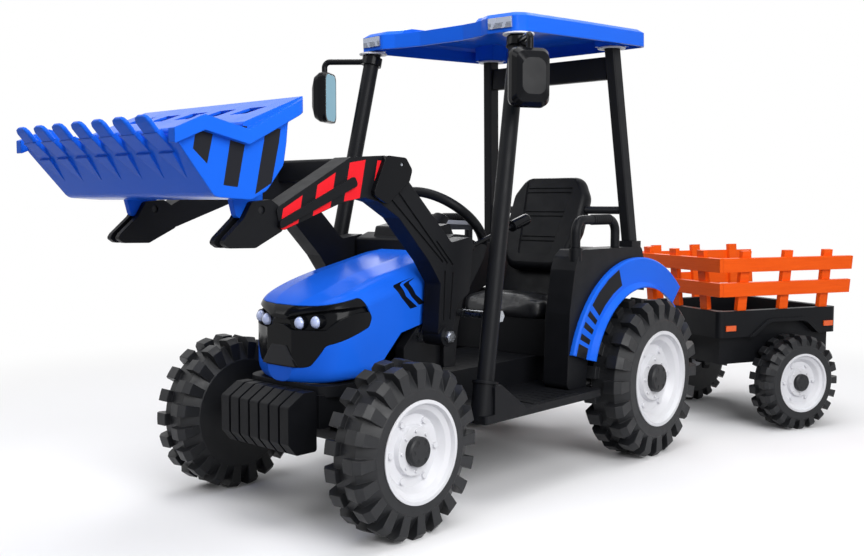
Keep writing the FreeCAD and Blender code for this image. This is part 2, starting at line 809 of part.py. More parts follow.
def knuckle():
    height = front_axle_height
    pin_half = knuckle_half_height + fork_thickness
    body = rod_z(kingpin_half, 0, height - knuckle_half_height, height + knuckle_half_height, knuckle_radius)
    pin = rod_z(kingpin_half, 0, height - pin_half, height + pin_half, kingpin_radius)
    stub = rod_x(kingpin_half, front_outer_half + axle_end(front_tyre_width), 0, height, axle_radius)
    arm = box(kingpin_half - steer_arm_half, kingpin_half + steer_arm_half, 0, steer_arm + 2 * steer_pin_radius,
              height - steer_arm_half, height + steer_arm_half - part_gap)
    post = rod_z(kingpin_half, steer_arm, height, rod_height() + tie_rod_thickness, steer_pin_radius)
    return fused([body, pin, stub, arm, post])


def tie_rod():
    low = rod_height() - tie_rod_thickness / 2
    high = rod_height() + tie_rod_thickness / 2
    end = kingpin_half + tie_rod_end
    bar = prism_z([(-end, steer_arm - tie_rod_half_depth), (end, steer_arm - tie_rod_half_depth),
                   (end, steer_arm + tie_rod_half_depth), (-end, steer_arm + tie_rod_half_depth)], low, high,
                  edge_round)
    slot_half = crank_ball + steer_slot_play
    ball = crank_place()
    tongue = box(-slot_half - fork_prong, slot_half + fork_prong, steer_arm, ball.y + fork_length / 2, low, high)
    notch = box(-slot_half, slot_half, ball.y - fork_length / 2, ball.y + fork_length, low - overrun, high + overrun)
    travel = steer_arm * (1 - math.cos(math.radians(wheel_turn)))
    pin_half = steer_pin_radius + steer_slot_play
    eye = box(kingpin_half - pin_half, kingpin_half + pin_half, steer_arm - travel - pin_half, steer_arm + pin_half,
              low - overrun, high + overrun)
    return fused([bar, tongue]).cut(Part.makeCompound([notch] + both_sides(eye)))


# Hood shell, grille mask and lamps
def hood_station(share, half_share, high_share, inset):
    y = hood_nose + share * (hood_rear - hood_nose)
    half = half_share * hood_half - inset
    low = skirt_top + part_gap
    high = skirt_top + high_share * hood_rise - inset
    right = [(half * out, low + up * (high - low)) for out, up in hood_section_shares]
    outline = right + [(-x, z) for x, z in reversed(right)]
    return rounded_wire([Vec(x, y, z) for x, z in outline], hood_round)


def hood_form(inset, shift):
    wires = []
    for station in hood_stations_shares:
        wire = hood_station(*station, inset)
        wire.translate(Vec(0, shift, 0))
        wires.append(wire)
    return loft(wires)


def hood_shell(thickness):
    hollow = hood_form(thickness, thickness)
    return hood_form(0, 0).cut(hollow.fuse(put(hollow, 0, 0, -wall)))


def mask_region(gap):
    length = hood_rear - hood_nose
    outline = placed(mask_shares, hood_nose, skirt_top, length, hood_rise)
    face = Part.Face(rounded_wire([Vec(-2 * hood_half, y, z) for y, z in outline], mask_round))
    if gap:
        face = face.makeOffset2D(-gap)
    return face.extrude(Vec(4 * hood_half, 0, 0))


def hood():
    length = hood_rear - hood_nose
    sill = prism_x(placed(hood_sill_shares, hood_nose, skirt_top - overrun, length, hood_rise), -2 * hood_half,
                   2 * hood_half, edge_round)
    return hood_shell(wall).cut(Part.makeCompound([sill, mask_region(0)]))


def headlight_places():
    places = []
    for side in (1, -1):
        for span, rise, back in zip(headlight_half_spans, headlight_rises, headlight_backs):
            places.append(Vec(side * span, back, skirt_top + rise))
    return places


def grille_mask():
    low, high, foot_half, top_half = badge_shares
    z0 = skirt_top + low * hood_rise
    z1 = skirt_top + high * hood_rise
    badge = prism_y([(-top_half * hood_half, z0), (top_half * hood_half, z0), (foot_half * hood_half, z1),
                     (-foot_half * hood_half, z1)], hood_nose - badge_thickness / 2,
                    hood_nose + 2 * badge_thickness)
    right = [(x * hood_half, skirt_top + up * hood_rise) for x, up in lamp_band_shares]
    outline = right + [(-x, z) for x, z in reversed(right[1:-1])]
    band = prism_y(outline, hood_nose - overrun, hood_rear).cut(hood_form(lamp_band_depth, lamp_band_depth))
    solid = hood_shell(mask_wall).common(mask_region(part_gap)).cut(band).fuse(badge)
    for place in headlight_places():
        solid = solid.cut(rod(place + Vec(0, headlight_depth, 0), place - Vec(0, headlight_depth * 2, 0),
                              headlight_radius + part_gap))
    return solid


def headlights():
    lenses = []
    for place in headlight_places():
        back = place + Vec(0, headlight_depth, 0)
        dome = Part.makeSphere(headlight_radius, place)
        lenses.append(rod(back, place, headlight_radius).fuse(dome))
    return Part.makeCompound(lenses)


def front_weight():
    back = chassis_front - part_gap
    length = back - weight_front
    low = datum - weight_drop
    outline = placed(weight_shares, weight_front, low, length, weight_rise)
    pitch = 2 * weight_half / weight_plates
    plates = []
    for i in range(weight_plates):
        middle = (i + 0.5) * pitch - weight_half
        half = pitch * weight_plate_share / 2
        plates.append(prism_x(outline, middle - half, middle + half, edge_round))
    inset = weight_core_inset
    core = prism_x(placed(weight_shares, weight_front + inset, low + inset, length - inset, weight_rise - 2 * inset),
                   pitch / 2 - weight_half, weight_half - pitch / 2, edge_round)
    return fused([core] + plates)


# Console, lever and pedal
def console_point(share, up):
    return hood_rear + part_gap + share * console_length, skirt_top + part_gap + up * console_rise


def console():
    outline = [console_point(*pair) for pair in console_shares]
    shell = prism_x(outline, -console_half, console_half, edge_round)
    hollow = inner_prism_x(outline, wall - console_half, console_half - wall, edge_round, wall)
    hump = prism_x([console_point(*pair) for pair in binnacle_shares], -binnacle_half, binnacle_half, edge_round)
    pin_y, pin_z = lever_place()
    stub = rod_x(console_half - wall, console_half + lever_hub_width + wall, pin_y, pin_z, lever_pin_radius)
    solid = fused([shell.cut(hollow), hump, stub])
    return solid.cut(rod(shaft_foot(), steering_hub, shaft_radius + run_gap))


def lever_place():
    y, z = console_point(lever_back_share, lever_rise_share)
    return y, z - lever_hub_radius


def lever():
    y, z = lever_place()
    x0 = console_half + part_gap
    x1 = x0 + lever_hub_width
    middle = (x0 + x1) / 2
    start = Vec(middle, y, z)
    reach = Vec(0, lever_reach, lever_lift)
    end = start + reach
    neck = end - reach * (lever_knob_length / reach.Length)
    hub = rod_x(x0, x1, y, z, lever_hub_radius)
    solid = fused([hub, rod(start, end, lever_rod), rod(neck, end, lever_knob_radius),
                   Part.makeSphere(lever_knob_radius, end)])
    return solid.cut(rod_x(x0 - overrun, x1 + overrun, y, z, lever_pin_radius + run_gap))


def pedal_pin():
    return pedal_back, foot_top + pedal_lift


def pedal_ears():
    y, z = pedal_pin()
    ears = []
    for start in (-pedal_side - pedal_half - part_gap - pedal_ear, -pedal_side + pedal_half + part_gap):
        ear = prism_x([(y - pedal_ear, foot_top - wall), (y - pedal_ear, z + pedal_ear),
                       (y + pedal_ear, z + pedal_ear), (y + pedal_ear, foot_top - wall)], start,
                      start + pedal_ear, wall)
        ears.append(ear.cut(rod_x(start - overrun, start + pedal_ear + overrun, y, z, pedal_pin_radius + run_gap)))
    return ears


def pedal():
    y, z = pedal_pin()
    plate = box(-pedal_side - pedal_half, pedal_half - pedal_side, -pedal_length, 0, -pedal_thickness / 2,
                pedal_thickness / 2)
    ribs = []
    for i in range(pedal_rib_count):
        start = -pedal_length + (i + 1) * pedal_length / (pedal_rib_count + 1)
        ribs.append(box(-pedal_side - pedal_half + wall, pedal_half - pedal_side - wall, start, start + wall, 0,
                        pedal_thickness / 2 + wall / 2))
    solid = fused([plate] + ribs)
    solid.rotate(Vec(0, 0, 0), Vec(1, 0, 0), -pedal_angle)
    solid.translate(Vec(0, y, z))
    pin = rod_x(-pedal_side - pedal_half - pedal_ear, pedal_half + pedal_ear - pedal_side, y, z, pedal_pin_radius)
    return fused([solid, pin])


# Rear body with seat base, wheel arches and the posts' feet
def pod():
    outline = placed(pod_shares, pod_front, foot_top + part_gap, pod_length, pod_rise - part_gap)
    arch = rod_x(pod_inner - overrun, pod_outer + overrun, wheel_base, rear_axle_height, arch_radius)
    inner_arch = rod_x(pod_inner - overrun, pod_outer + overrun, wheel_base, rear_axle_height, arch_radius + wall)
    solid = prism_x(outline, pod_inner, pod_outer, pod_round).cut(arch)
    hollow = inner_prism_x(outline, pod_inner + wall, pod_outer - wall, pod_round, wall).cut(inner_arch)
    x, y = rear_post_foot
    block = box(x - pillar_block_half, x + pillar_block_half, y - pillar_block_half, y + pillar_block_half,
                pod_top - wall, pod_top + pillar_block_rise)
    boss = rod_z(handle_side, handle_front, pod_top - handle_boss_height, pod_top + wall, handle_boss)
    return fused([solid.cut(hollow), block, boss.cut(hollow)])


def backrest_plane(height):
    slope = math.tan(math.radians(backrest_lean))
    thickness = backrest_depth / math.cos(math.radians(backrest_lean))
    return backrest_back + thickness + part_gap * 2 + (height - chassis_top - backrest_rise) * slope


def seat_housing():
    low = chassis_top + part_gap
    rear = pod_front + pod_length
    shell = box(-base_half, base_half, base_front, rear, low, seat_top)
    hollow = box(wall - base_half, base_half - wall, base_front + wall, rear - wall, low - overrun, seat_top - wall)
    top = chassis_top + back_block_rise
    front_low = backrest_plane(seat_top)
    front_high = backrest_plane(top)
    block = prism_x([(front_low, seat_top - wall), (front_high, top), (front_high + back_block_length, top),
                     (front_high + back_block_length, seat_top - wall)], -back_half, back_half)
    room = prism_x([(front_low + wall, seat_top), (front_high + wall, top - wall),
                    (front_high + back_block_length - wall, top - wall),
                    (front_high + back_block_length - wall, seat_top)], wall - back_half, back_half - wall)
    return fused([shell.cut(hollow), block.cut(room)] + both_sides(pod()))


def scaled_loft(outline, layers, height, radius):
    centre_x = sum(x for x, y in outline) / len(outline)
    centre_y = sum(y for x, y in outline) / len(outline)
    wires = []
    for up, size in layers:
        points = [Vec(centre_x + (x - centre_x) * size, centre_y + (y - centre_y) * size, up * height)
                  for x, y in outline]
        wires.append(rounded_wire(points, radius))
    return loft(wires)


def seat_cushion():
    rear = cushion_front + cushion_length
    outline = [(-cushion_half, cushion_front), (cushion_half, cushion_front), (cushion_half, rear),
               (-cushion_half, rear)]
    solid = scaled_loft(outline, cushion_scale_shares, cushion_height, cushion_corner)
    solid.translate(Vec(0, 0, seat_top + part_gap))
    return solid


def seat_back():
    outline = [(x * backrest_half, up * backrest_height) for x, up in backrest_shares]
    solid = scaled_loft(outline, backrest_scale_shares, backrest_depth, backrest_corner)
    panel = [(x * backrest_half, up * backrest_height) for x, up in backrest_panel_shares]
    cuts = [prism_z(panel, -overrun, backrest_panel, edge_round)]
    for share, half_share in backrest_grooves_shares:
        half = half_share * backrest_half
        for i in range(2):
            up = share * backrest_height + i * backrest_groove_pitch
            cuts.append(box(-half, half, up, up + backrest_groove, -overrun, backrest_panel + backrest_groove))
    solid = solid.cut(fused(cuts))
    solid.rotate(Vec(0, 0, 0), Vec(1, 0, 0), 90)
    solid = solid.mirror(Vec(0, 0, 0), Vec(0, 1, 0))
    solid.rotate(Vec(0, 0, 0), Vec(1, 0, 0), -backrest_lean)
    solid.translate(Vec(0, backrest_back, chassis_top + backrest_rise))
    return solid


def fenders():
    inner = pod_outer + part_gap
    outer = inner + fender_width
    lip = outer + fender_lip
    section = [(inner, fender_radius), (outer - wall, fender_radius), (outer, fender_radius - wall),
               (outer, fender_gap_radius + fender_lip), (lip, fender_gap_radius + wall), (lip, fender_gap_radius),
               (outer - wall, fender_gap_radius + fender_lip - wall), (outer - wall, fender_radius - wall - wall),
               (inner, fender_radius - wall)]
    face = Part.Face(rounded_wire([Vec(x, r, 0) for x, r in section]))
    arch = turned(face, Vec(0, 0, 0), Vec(1, 0, 0), fender_start).revolve(Vec(0, 0, 0), Vec(1, 0, 0), fender_sweep)
    arch.translate(Vec(0, wheel_base, rear_axle_height))
    return Part.makeCompound(both_sides(arch))


def grab_handles():
    foot = pod_top + wall + part_gap
    rear = handle_front + handle_length
    top = pod_top + handle_height
    path = [Vec(handle_side, handle_front, foot), Vec(handle_side, handle_front, top), Vec(handle_side, rear, top),
            Vec(handle_side, rear, pod_top + part_gap)]
    ribs = []
    first = handle_front + handle_length * grip_place_share - grip_rib_pitch * (grip_rib_count - 1) / 2
    for i in range(grip_rib_count):
        y = first + i * grip_rib_pitch
        ribs.append(rod(Vec(handle_side, y, top), Vec(handle_side, y + grip_rib_pitch / 2, top),
                        handle_radius + grip_rib))
    return Part.makeCompound(both_sides(fused([bent_tube(path, handle_radius, handle_bend)] + ribs)))


# Canopy on four posts
def roof_lift(y):
    return (y - roof_front) * math.tan(math.radians(roof_tilt))


def rear_post_wire(x, y, z, grow):
    corners = [(-1, -1), (1, -1), (1, 1), (-1, 1)]
    half_width = rear_post_half_width + grow
    half_depth = rear_post_half_depth + grow
    return rounded_wire([Vec(x + i * half_width, y + j * half_depth, z) for i, j in corners], post_round)


def rear_post_ends():
    foot = Vec(*rear_post_foot, pod_top + pillar_block_rise + part_gap)
    head = Vec(*rear_post_head, roof_base + roof_lift(rear_post_head[1]) + post_seat)
    return foot, head


def rear_post_at(height):
    foot, head = rear_post_ends()
    return foot + (head - foot) * ((height - foot.z) / (head.z - foot.z))


def rear_post(grow):
    foot, head = rear_post_ends()
    return loft([rear_post_wire(*foot, grow), rear_post_wire(*head, grow)], True)


def front_post():
    foot, head = front_post_axis()
    along = (head - foot).normalize()
    return rod(foot + along * part_gap, head + along * post_seat, front_post_radius)


def front_posts():
    return Part.makeCompound(both_sides(front_post()))


def rear_posts():
    return Part.makeCompound(both_sides(rear_post(0)))


def rear_crossbar():
    foot, head = rear_post_ends()
    height = foot.z + (head.z - foot.z) * crossbar_rise_share
    half = rear_post_at(height + crossbar_height / 2).x - rear_post_half_width - part_gap
    y = rear_post_at(height).y
    return prism_x([(y - crossbar_depth / 2, height - crossbar_height / 2),
                    (y + crossbar_depth / 2, height - crossbar_height / 2),
                    (y + crossbar_depth / 2, height + crossbar_height / 2),
                    (y - crossbar_depth / 2, height + crossbar_height / 2)], -half, half, post_round)


def seat_stays():
    slope = math.radians(backrest_lean)
    up = backrest_height * seat_stay_share
    height = chassis_top + backrest_rise + up * math.cos(slope)
    y = backrest_back + up * math.sin(slope) + backrest_depth / math.cos(slope) / 2
    start = Vec(backrest_half, y, height)
    post = rear_post_at(height)
    along = (post - start).normalize()
    bar = rod(start - along * seat_stay_radius, post, seat_stay_radius)
    reach = 2 * seat_stay_radius
    seat = box(0, backrest_half + seat_stay_gap, y - reach, y + reach, height - reach, height + reach)
    return Part.makeCompound(both_sides(bar.cut(seat).cut(rear_post(part_gap))))


def post_stays():
    height = datum + post_stay_rise
    post = front_post_at(height)
    y = post.y + front_post_radius + post_stay_nut + wall / 2
    end = post.x - front_post_radius / 2
    bar = rod_x(console_half + part_gap, end, y, height, post_stay_radius)
    nut = hex_x(end - wall, end + post_stay_nut_length, y, height, post_stay_nut)
    return Part.makeCompound(both_sides(fused([bar, nut])))


def roof_outline():
    right = [(x * roof_half, y * roof_length) for x, y in roof_outline_shares]
    edge = roof_front_edge_share * roof_length
    left = [(-x, y) for x, y in reversed(right)]
    return right + left + [(-right[0][0] / 2, edge), (right[0][0] / 2, edge)]


def roof_form(size, height):
    outline = roof_outline()
    middle = roof_length / 2
    wires = []
    for up, scale in roof_layers_shares:
        points = [Vec(x * scale * size, middle + (y - middle) * scale * size, up * height) for x, y in outline]
        wires.append(rounded_wire(points, roof_round))
    return loft(wires, True)


def roof_valley(top):
    half_share, length_share = roof_dip_shares
    half = half_share * roof_half
    length = length_share * roof_length
    return prism_x([(-overrun, top - roof_dip), (length, top), (length, top + roof_height),
                    (-overrun, top + roof_height)], -half, half)


def on_roof(shape):
    shape.rotate(Vec(0, 0, 0), Vec(1, 0, 0), roof_tilt)
    shape.translate(Vec(0, roof_front, roof_base))
    return shape


def roof():
    inner_size = 1 - 2 * roof_skin / roof_length
    inner_top = roof_height - roof_skin
    hollow = put(roof_form(inner_size, inner_top).cut(roof_valley(inner_top)), 0, 0, -part_gap)
    skin = on_roof(roof_form(1, roof_height).cut(roof_valley(roof_height)).cut(hollow))
    ceiling = on_roof(roof_form(inner_size, roof_height))
    foot, head = front_post_axis()
    front_boss = rod_z(head.x, head.y, roof_base, roof_base + 2 * roof_height, roof_boss)
    rear = rear_post_ends()[1]
    rear_boss = box(rear.x - roof_boss, rear.x + roof_boss, rear.y - roof_boss, rear.y + roof_boss,
                    rear.z - post_seat, rear.z + 2 * roof_height)
    bosses = [boss.common(ceiling) for boss in both_sides(front_boss) + both_sides(rear_boss)]
    solid = fused([skin] + bosses)
    along = (head - foot).normalize()
    front_seat = rod(head - along * roof_height, head + along * (post_seat + part_gap),
                     front_post_radius + part_gap)
    slide = rear_post_ends()[1] - rear_post_ends()[0]
    reach = slide * (roof_height / slide.z)
    seat_wire = rear_post_wire(0, 0, 0, part_gap)
    rear_seat = loft([moved(seat_wire, rear - reach), moved(seat_wire, rear + slide * (part_gap / slide.z))], True)
    return solid.cut(Part.makeCompound(both_sides(front_seat) + both_sides(rear_seat)))


def moved(shape, place):
    copy = shape.copy()
    copy.translate(place)
    return copy


def roof_lamps():
    start, end, low, high = roof_lamp_shares
    (x0, y0), (x1, y1) = [(x * roof_half, y * roof_length) for x, y in roof_outline_shares[1:3]]
    a = Vec(x0 + (x1 - x0) * start, y0 + (y1 - y0) * start, 0)
    b = Vec(x0 + (x1 - x0) * end, y0 + (y1 - y0) * end, 0)
    gap = Vec(0, part_gap, 0)
    deep = Vec(0, roof_lamp_thickness, 0)
    face = Part.Face(rounded_wire([a - gap, b - gap, b - deep, a - deep]))
    lamp = face.extrude(Vec(0, 0, (high - low) * roof_height))
    lamp.translate(Vec(0, 0, low * roof_height))
    return Part.makeCompound(both_sides(on_roof(lamp)))


# Mirrors that swing with their clamp round the front post
def mirror_ring_place():
    foot, head = front_post_axis()
    return foot + (head - foot) * mirror_ring_rise_share


def mirror_height_base():
    return mirror_ring_place().z - mirror_drop - mirror_height


def facing(shape):
    shape.translate(Vec(0, -mirror_depth / 2, 0))
    shape.rotate(Vec(0, 0, 0), Vec(0, 0, 1), mirror_toe)
    shape.translate(Vec(mirror_side, mirror_back, mirror_height_base()))
    return shape


def mirror_outline(inset):
    half = mirror_half_width - inset
    return [(-half, inset), (half, inset), (half, mirror_height - inset), (-half, mirror_height - inset)]


def mirror_housing():
    middle = mirror_height / 2
    wires = []
    for along, size in mirror_scale_shares:
        points = [Vec(x * size, along * mirror_depth, middle + (z - middle) * size) for x, z in mirror_outline(0)]
        wires.append(rounded_wire(points, mirror_round))
    shell = loft(wires, True)
    recess = prism_y(mirror_outline(mirror_frame), mirror_depth - mirror_glass - part_gap, mirror_depth + overrun,
                     mirror_round)
    shell = facing(shell.cut(recess))
    ring_place = mirror_ring_place()
    foot, head = front_post_axis()
    along = (head - foot).normalize()
    low = ring_place - along * (mirror_ring_height / 2)
    outer = Part.makeCylinder(front_post_radius + mirror_ring_wall, mirror_ring_height, low, along)
    bore = Part.makeCylinder(front_post_radius + run_gap, mirror_ring_height * 2,
                             low - along * (mirror_ring_height / 2), along)
    top = facing(Part.Vertex(0, mirror_depth * mirror_arm_share, mirror_height - mirror_frame)).Point
    reach = Vec(top.x - ring_place.x, top.y - ring_place.y, 0).normalize()
    start = ring_place + reach * front_post_radius
    arm = bent_tube([start, Vec(top.x, top.y, start.z), top], mirror_arm_radius, mirror_arm_bend)
    return fused([shell, outer, arm]).cut(bore)


def mirror_glass_plate():
    plate = prism_y(mirror_outline(mirror_frame + part_gap), mirror_depth - mirror_glass, mirror_depth, mirror_round)
    return facing(plate)


# Loader boom, bucket and pivots
def boom_points(shares):
    return [(loader_back - along * boom_reach, pivot_height + up * boom_rise) for along, up in shares]


def groove(line):
    (y0, z0), (y1, z1) = boom_points(line)
    start = Vec(arm_outer, y0, z0)
    end = Vec(arm_outer, y1, z1)
    across = Vec(1, 0, 0).cross(end - start).normalize() * (groove_width / 2)
    deep = Vec(-groove_depth, 0, 0)
    face = Part.Face(rounded_wire([start + across + deep, end + across + deep, end - across + deep,
                                   start - across + deep]))
    return face.extrude(Vec(2 * groove_depth, 0, 0))


def loader_arm():
    outline = boom_points(arm_shares)
    solid = prism_x(outline, arm_inner, arm_outer, arm_round)
    hollow = inner_prism_x(outline, arm_inner + arm_wall, arm_outer - arm_wall - groove_depth, arm_round, arm_wall)
    hook = boom_points(hook_shares)
    plates = [prism_x(hook, arm_inner, arm_inner + hook_plate, arm_round),
              prism_x(hook, hook_outer - hook_plate, hook_outer, arm_round)]
    boss_end = arm_inner + pivot_boss_width
    boss = rod_x(arm_inner, boss_end, loader_back, pivot_height, pivot_boss)
    grooves = fused([groove(line) for line in groove_shares])
    bar = prism_x(boom_points(side_bar_shares), arm_outer - groove_depth, arm_outer + side_bar, edge_round)
    solid = fused([solid.cut(hollow).cut(grooves), boss, bar] + plates)
    pivot = rod_x(arm_inner - overrun, boss_end + overrun, loader_back, pivot_height, pivot_rod + run_gap)
    pin = rod_x(arm_inner - overrun, arm_outer + overrun, pin_back, pin_height, hook_pin_radius + run_gap)
    return solid.cut(pivot).cut(pin)


def elbow_covers():
    face = Part.Face(rounded_wire([Vec(arm_outer + part_gap, y, z) for y, z in boom_points(elbow_shares)], arm_round))
    y, z = boom_points([elbow_screw_share])[0]
    start = arm_outer + part_gap + elbow_thickness / 2
    screw = rod_x(start, start + elbow_thickness, y, z, elbow_screw)
    return Part.makeCompound(both_sides(face.extrude(Vec(elbow_thickness, 0, 0)).cut(screw)))


def boom_crossbeam():
    half = arm_inner - part_gap
    outline = boom_points(beam_shares)
    solid = prism_x(outline, -half, half, edge_round)
    return solid.cut(inner_prism_x(outline, -half - overrun, half + overrun, edge_round, wall))


def loader_pivots():
    cheek_inner = cheek_half - cheek_width - part_gap
    shoulder = arm_inner - part_gap
    end = arm_inner + pivot_boss_width + pivot_end
    stub = fused([rod_x(cheek_inner - wall, cheek_inner, loader_back, pivot_height, pivot_head),
                  rod_x(cheek_inner - wall, shoulder, loader_back, pivot_height, pivot_tube),
                  rod_x(cheek_inner, end, loader_back, pivot_height, pivot_rod)])
    return Part.makeCompound(both_sides(stub))


def loader_nuts():
    start = arm_inner + pivot_boss_width + part_gap
    nut = hex_x(start, start + pivot_nut_length, loader_back, pivot_height, pivot_nut)
    bore = rod_x(start - overrun, start + pivot_nut_length + overrun, loader_back, pivot_height,
                 pivot_rod + run_gap)
    return Part.makeCompound(both_sides(nut.cut(bore)))


def bucket_pins():
    pin = rod_x(arm_inner + hook_pin_sink, hook_outer - hook_pin_sink, pin_back, pin_height, hook_pin_radius)
    return Part.makeCompound(both_sides(pin))


def bucket_points(shares):
    return [(pin_back - along * bucket_depth, pin_height + up * bucket_height) for along, up in shares]


def tooth(place):
    foot, lip = [Vec(place, y, z) for y, z in bucket_points((bucket_shares[1], bucket_shares[0]))]
    run = lip - foot
    out = Vec(-1, 0, 0).cross(run).normalize()
    if out.z > 0:
        out = out * -1
    steps = []
    for share, width, thick in tooth_steps_shares:
        centre = foot + run * share
        side = Vec(tooth_width * width / 2, 0, 0)
        low = out * (tooth_thickness * thick)
        deep = out * (-bucket_wall / 2)
        steps.append([centre - side + deep, centre + side + deep, centre + side + low, centre - side + low])
    tip_way = run.normalize() * tooth_reach
    finger = []
    for along, size in finger_shares:
        corners = [lip + (corner - lip) * size + tip_way * along for corner in steps[3]]
        finger.append(rounded_wire(corners, tooth_round))
    ribs = [rounded_wire(corners) for corners in steps]
    return [loft(ribs[0:2], True), loft(ribs[2:4], True), loft(finger, True)]


def bucket_slots():
    rear, front = [Vec(0, y, z) for y, z in bucket_points((bucket_shares[7], bucket_shares[8]))]
    start, end = bucket_slot_shares
    a = front + (rear - front) * (end + start)
    b = front + (rear - front) * (1 - start)
    normal = Vec(1, 0, 0).cross(b - a).normalize() * (4 * bucket_wall)
    half = Vec(bucket_slot_length / 2, 0, 0)
    slant = Vec(bucket_slot_slant, 0, 0)
    slots = []
    for i in range(bucket_slot_count):
        shift = Vec((i - (bucket_slot_count - 1) / 2) * bucket_slot_pitch, 0, 0)
        corners = [a - half - slant, a + half - slant, b + half + slant, b - half + slant]
        face = Part.Face(rounded_wire([c + shift - normal / 2 for c in corners]))
        slots.append(face.extrude(normal))
    return Part.makeCompound(slots)


def drafted(shape, half):
    knee = pin_height + bucket_knee_share * bucket_height
    high = pin_height + 2 * bucket_height
    foot = half - bucket_draft
    room = prism_y([(-foot, pin_height), (foot, pin_height), (half, knee), (half, high), (-half, high),
                    (-half, knee)], pin_back - 2 * bucket_depth, pin_back + bucket_depth)
    return shape.common(room)


def bucket():
    outline = bucket_points(bucket_shares)
    shell = drafted(prism_x(outline, -bucket_half, bucket_half, bucket_round), bucket_half)
    inside_half = bucket_half - bucket_wall
    inside = drafted(inner_prism_x(outline, -inside_half, inside_half, bucket_round, bucket_wall), inside_half)
    mouth = prism_x(bucket_points(bucket_mouth_shares), -inside_half, inside_half)
    top = bucket_points(bucket_flange_shares)
    band = top + [(y, z - bucket_flange_height) for y, z in reversed(top)]
    flange = prism_x(band, bucket_half - bucket_wall / 2, bucket_half + bucket_flange, wall / 2)
    slot_half = (hook_outer - arm_inner) / 2 - hook_plate - tab_gap
    middle = (hook_outer + arm_inner) / 2
    tab = prism_x(bucket_points(tab_shares), middle - slot_half, middle + slot_half, arm_round)
    tabs = both_sides(tab)
    first = -(tooth_count - 1) / 2 * tooth_pitch
    teeth = []
    for i in range(tooth_count):
        teeth += tooth(first + i * tooth_pitch)
    side = bucket_half + bucket_flange
    front = pin_back - 2 * bucket_depth
    rear = max(y for y, z in top)
    plan = prism_z([(-side, front), (side, front), (side, rear), (-side, rear)], pin_height - bucket_height,
                   pin_height + 2 * bucket_height, bucket_corner)
    solid = fused([shell] + both_sides(flange) + tabs).common(plan)
    solid = solid.cut(inside).cut(mouth).cut(bucket_slots())
    solid = fused([solid] + teeth)
    bore = rod_x(-arm_outer, arm_outer, pin_back, pin_height, hook_pin_radius + run_gap)
    return solid.cut(bore)


# Tow hitch and trailer, laid out straight behind the hitch pin and then swung
def tow_hitch():
    back = chassis_rear + part_gap
    plate_top = hitch_height + hitch_plate
    flange = box(-hitch_flange_half, hitch_flange_half, back, back + hitch_plate, datum, chassis_top - chassis_wall)
    tongue = prism_z([(-hitch_half, back), (hitch_half, back), (hitch_half, hitch_back + hitch_half),
                      (-hitch_half, hitch_back + hitch_half)], hitch_height, plate_top, edge_round)
    shoulder = plate_top + part_gap + drawbar_depth + wall
    pin = rod_z(0, hitch_back, hitch_height, shoulder, hitch_pin_radius)
    clip_end = rod_z(0, hitch_back, hitch_height, shoulder + hitch_clip_length, hitch_clip_radius)
    return fused([flange, tongue, pin, clip_end])


def on_trailer(shape):
    return put(turned(shape, Vec(0, 0, 0), Vec(0, 0, 1), trailer_swing), 0, hitch_back, 0)


def drawbar():
    low = hitch_height + hitch_plate + part_gap
    high = low + drawbar_depth
    rear = tub_front + under_inset - part_gap
    eye = rod_z(0, 0, low, high, drawbar_eye)
    bar = box(-drawbar_half, drawbar_half, 0, rear, low, high)
    flange = prism_y([(-hitch_flange_half, low), (hitch_flange_half, low), (hitch_half, high + drawbar_depth),
                      (-hitch_half, high + drawbar_depth)], rear - hitch_plate, rear)
    brace = prism_x([(rear - 2 * hitch_flange_half, high - wall), (rear - wall, high + drawbar_depth),
                     (rear - wall, high - wall)], -wall, wall)
    solid = fused([eye, bar, flange, brace])
    return solid.cut(rod_z(0, 0, low - overrun, high + overrun, hitch_pin_radius + run_gap))


def trailer_arch(grow):
    points = [(drawbar_length + along * (trailer_arch_span + grow), tub_top - tub_depth + up * tub_depth + grow * lift)
              for (along, up), lift in zip(trailer_arch_shares, trailer_arch_lift_shares)]
    return points


def trailer_tub():
    rear = tub_front + tub_length
    low = tub_top - tub_depth
    plan = [(-tub_half, tub_front), (tub_half, tub_front), (tub_half, rear), (-tub_half, rear)]
    body = prism_z(plan, low, tub_top, tub_corner)
    inner = tub_half - tub_side
    room = prism_z([(-inner, tub_front + tub_side), (inner, tub_front + tub_side), (inner, rear - tub_side),
                    (-inner, rear - tub_side)], tub_top - tub_floor, tub_top + overrun, tub_corner)
    under_low = low - under_depth
    under = box(-under_half, under_half, tub_front + under_inset, rear - under_inset, under_low, low + wall)
    under_room = box(wall - under_half, under_half - wall, tub_front + under_inset + wall, rear - under_inset - wall,
                     under_low - overrun, low)
    arch_out = tub_half + trailer_arch_proud
    lip = prism_x(trailer_arch(trailer_arch_lip), tub_half - wall, arch_out, trailer_arch_round)
    recess = prism_x(trailer_arch(0), under_half + part_gap, arch_out + overrun, trailer_arch_round)
    below = box(-arch_out - overrun, arch_out + overrun, tub_front, rear, low - tub_depth, low)
    lips = [piece.cut(below) for piece in both_sides(lip)]
    solid = fused([body] + lips)
    solid = solid.cut(Part.makeCompound(both_sides(recess)))
    solid = fused([solid.cut(room), under.cut(under_room)])
    x = under_half * axle_plate_place_share
    plate = prism_x([(drawbar_length - axle_plate_half, low), (drawbar_length + axle_plate_half, low),
                     (drawbar_length + axle_plate_half / 2, trailer_tyre_radius - axle_plate_half),
                     (drawbar_length - axle_plate_half / 2, trailer_tyre_radius - axle_plate_half)], x, x + axle_plate,
                    edge_round)
    bore = rod_x(-under_half, under_half, drawbar_length, trailer_tyre_radius, axle_radius + part_gap)
    return fused([solid] + both_sides(plate)).cut(bore)


def rails(start, end, outer):
    boards = []
    for rise in rail_rises:
        boards.append(box(outer, outer + rail_thickness, start, end, tub_top + rise, tub_top + rise + rail_height))
    return boards


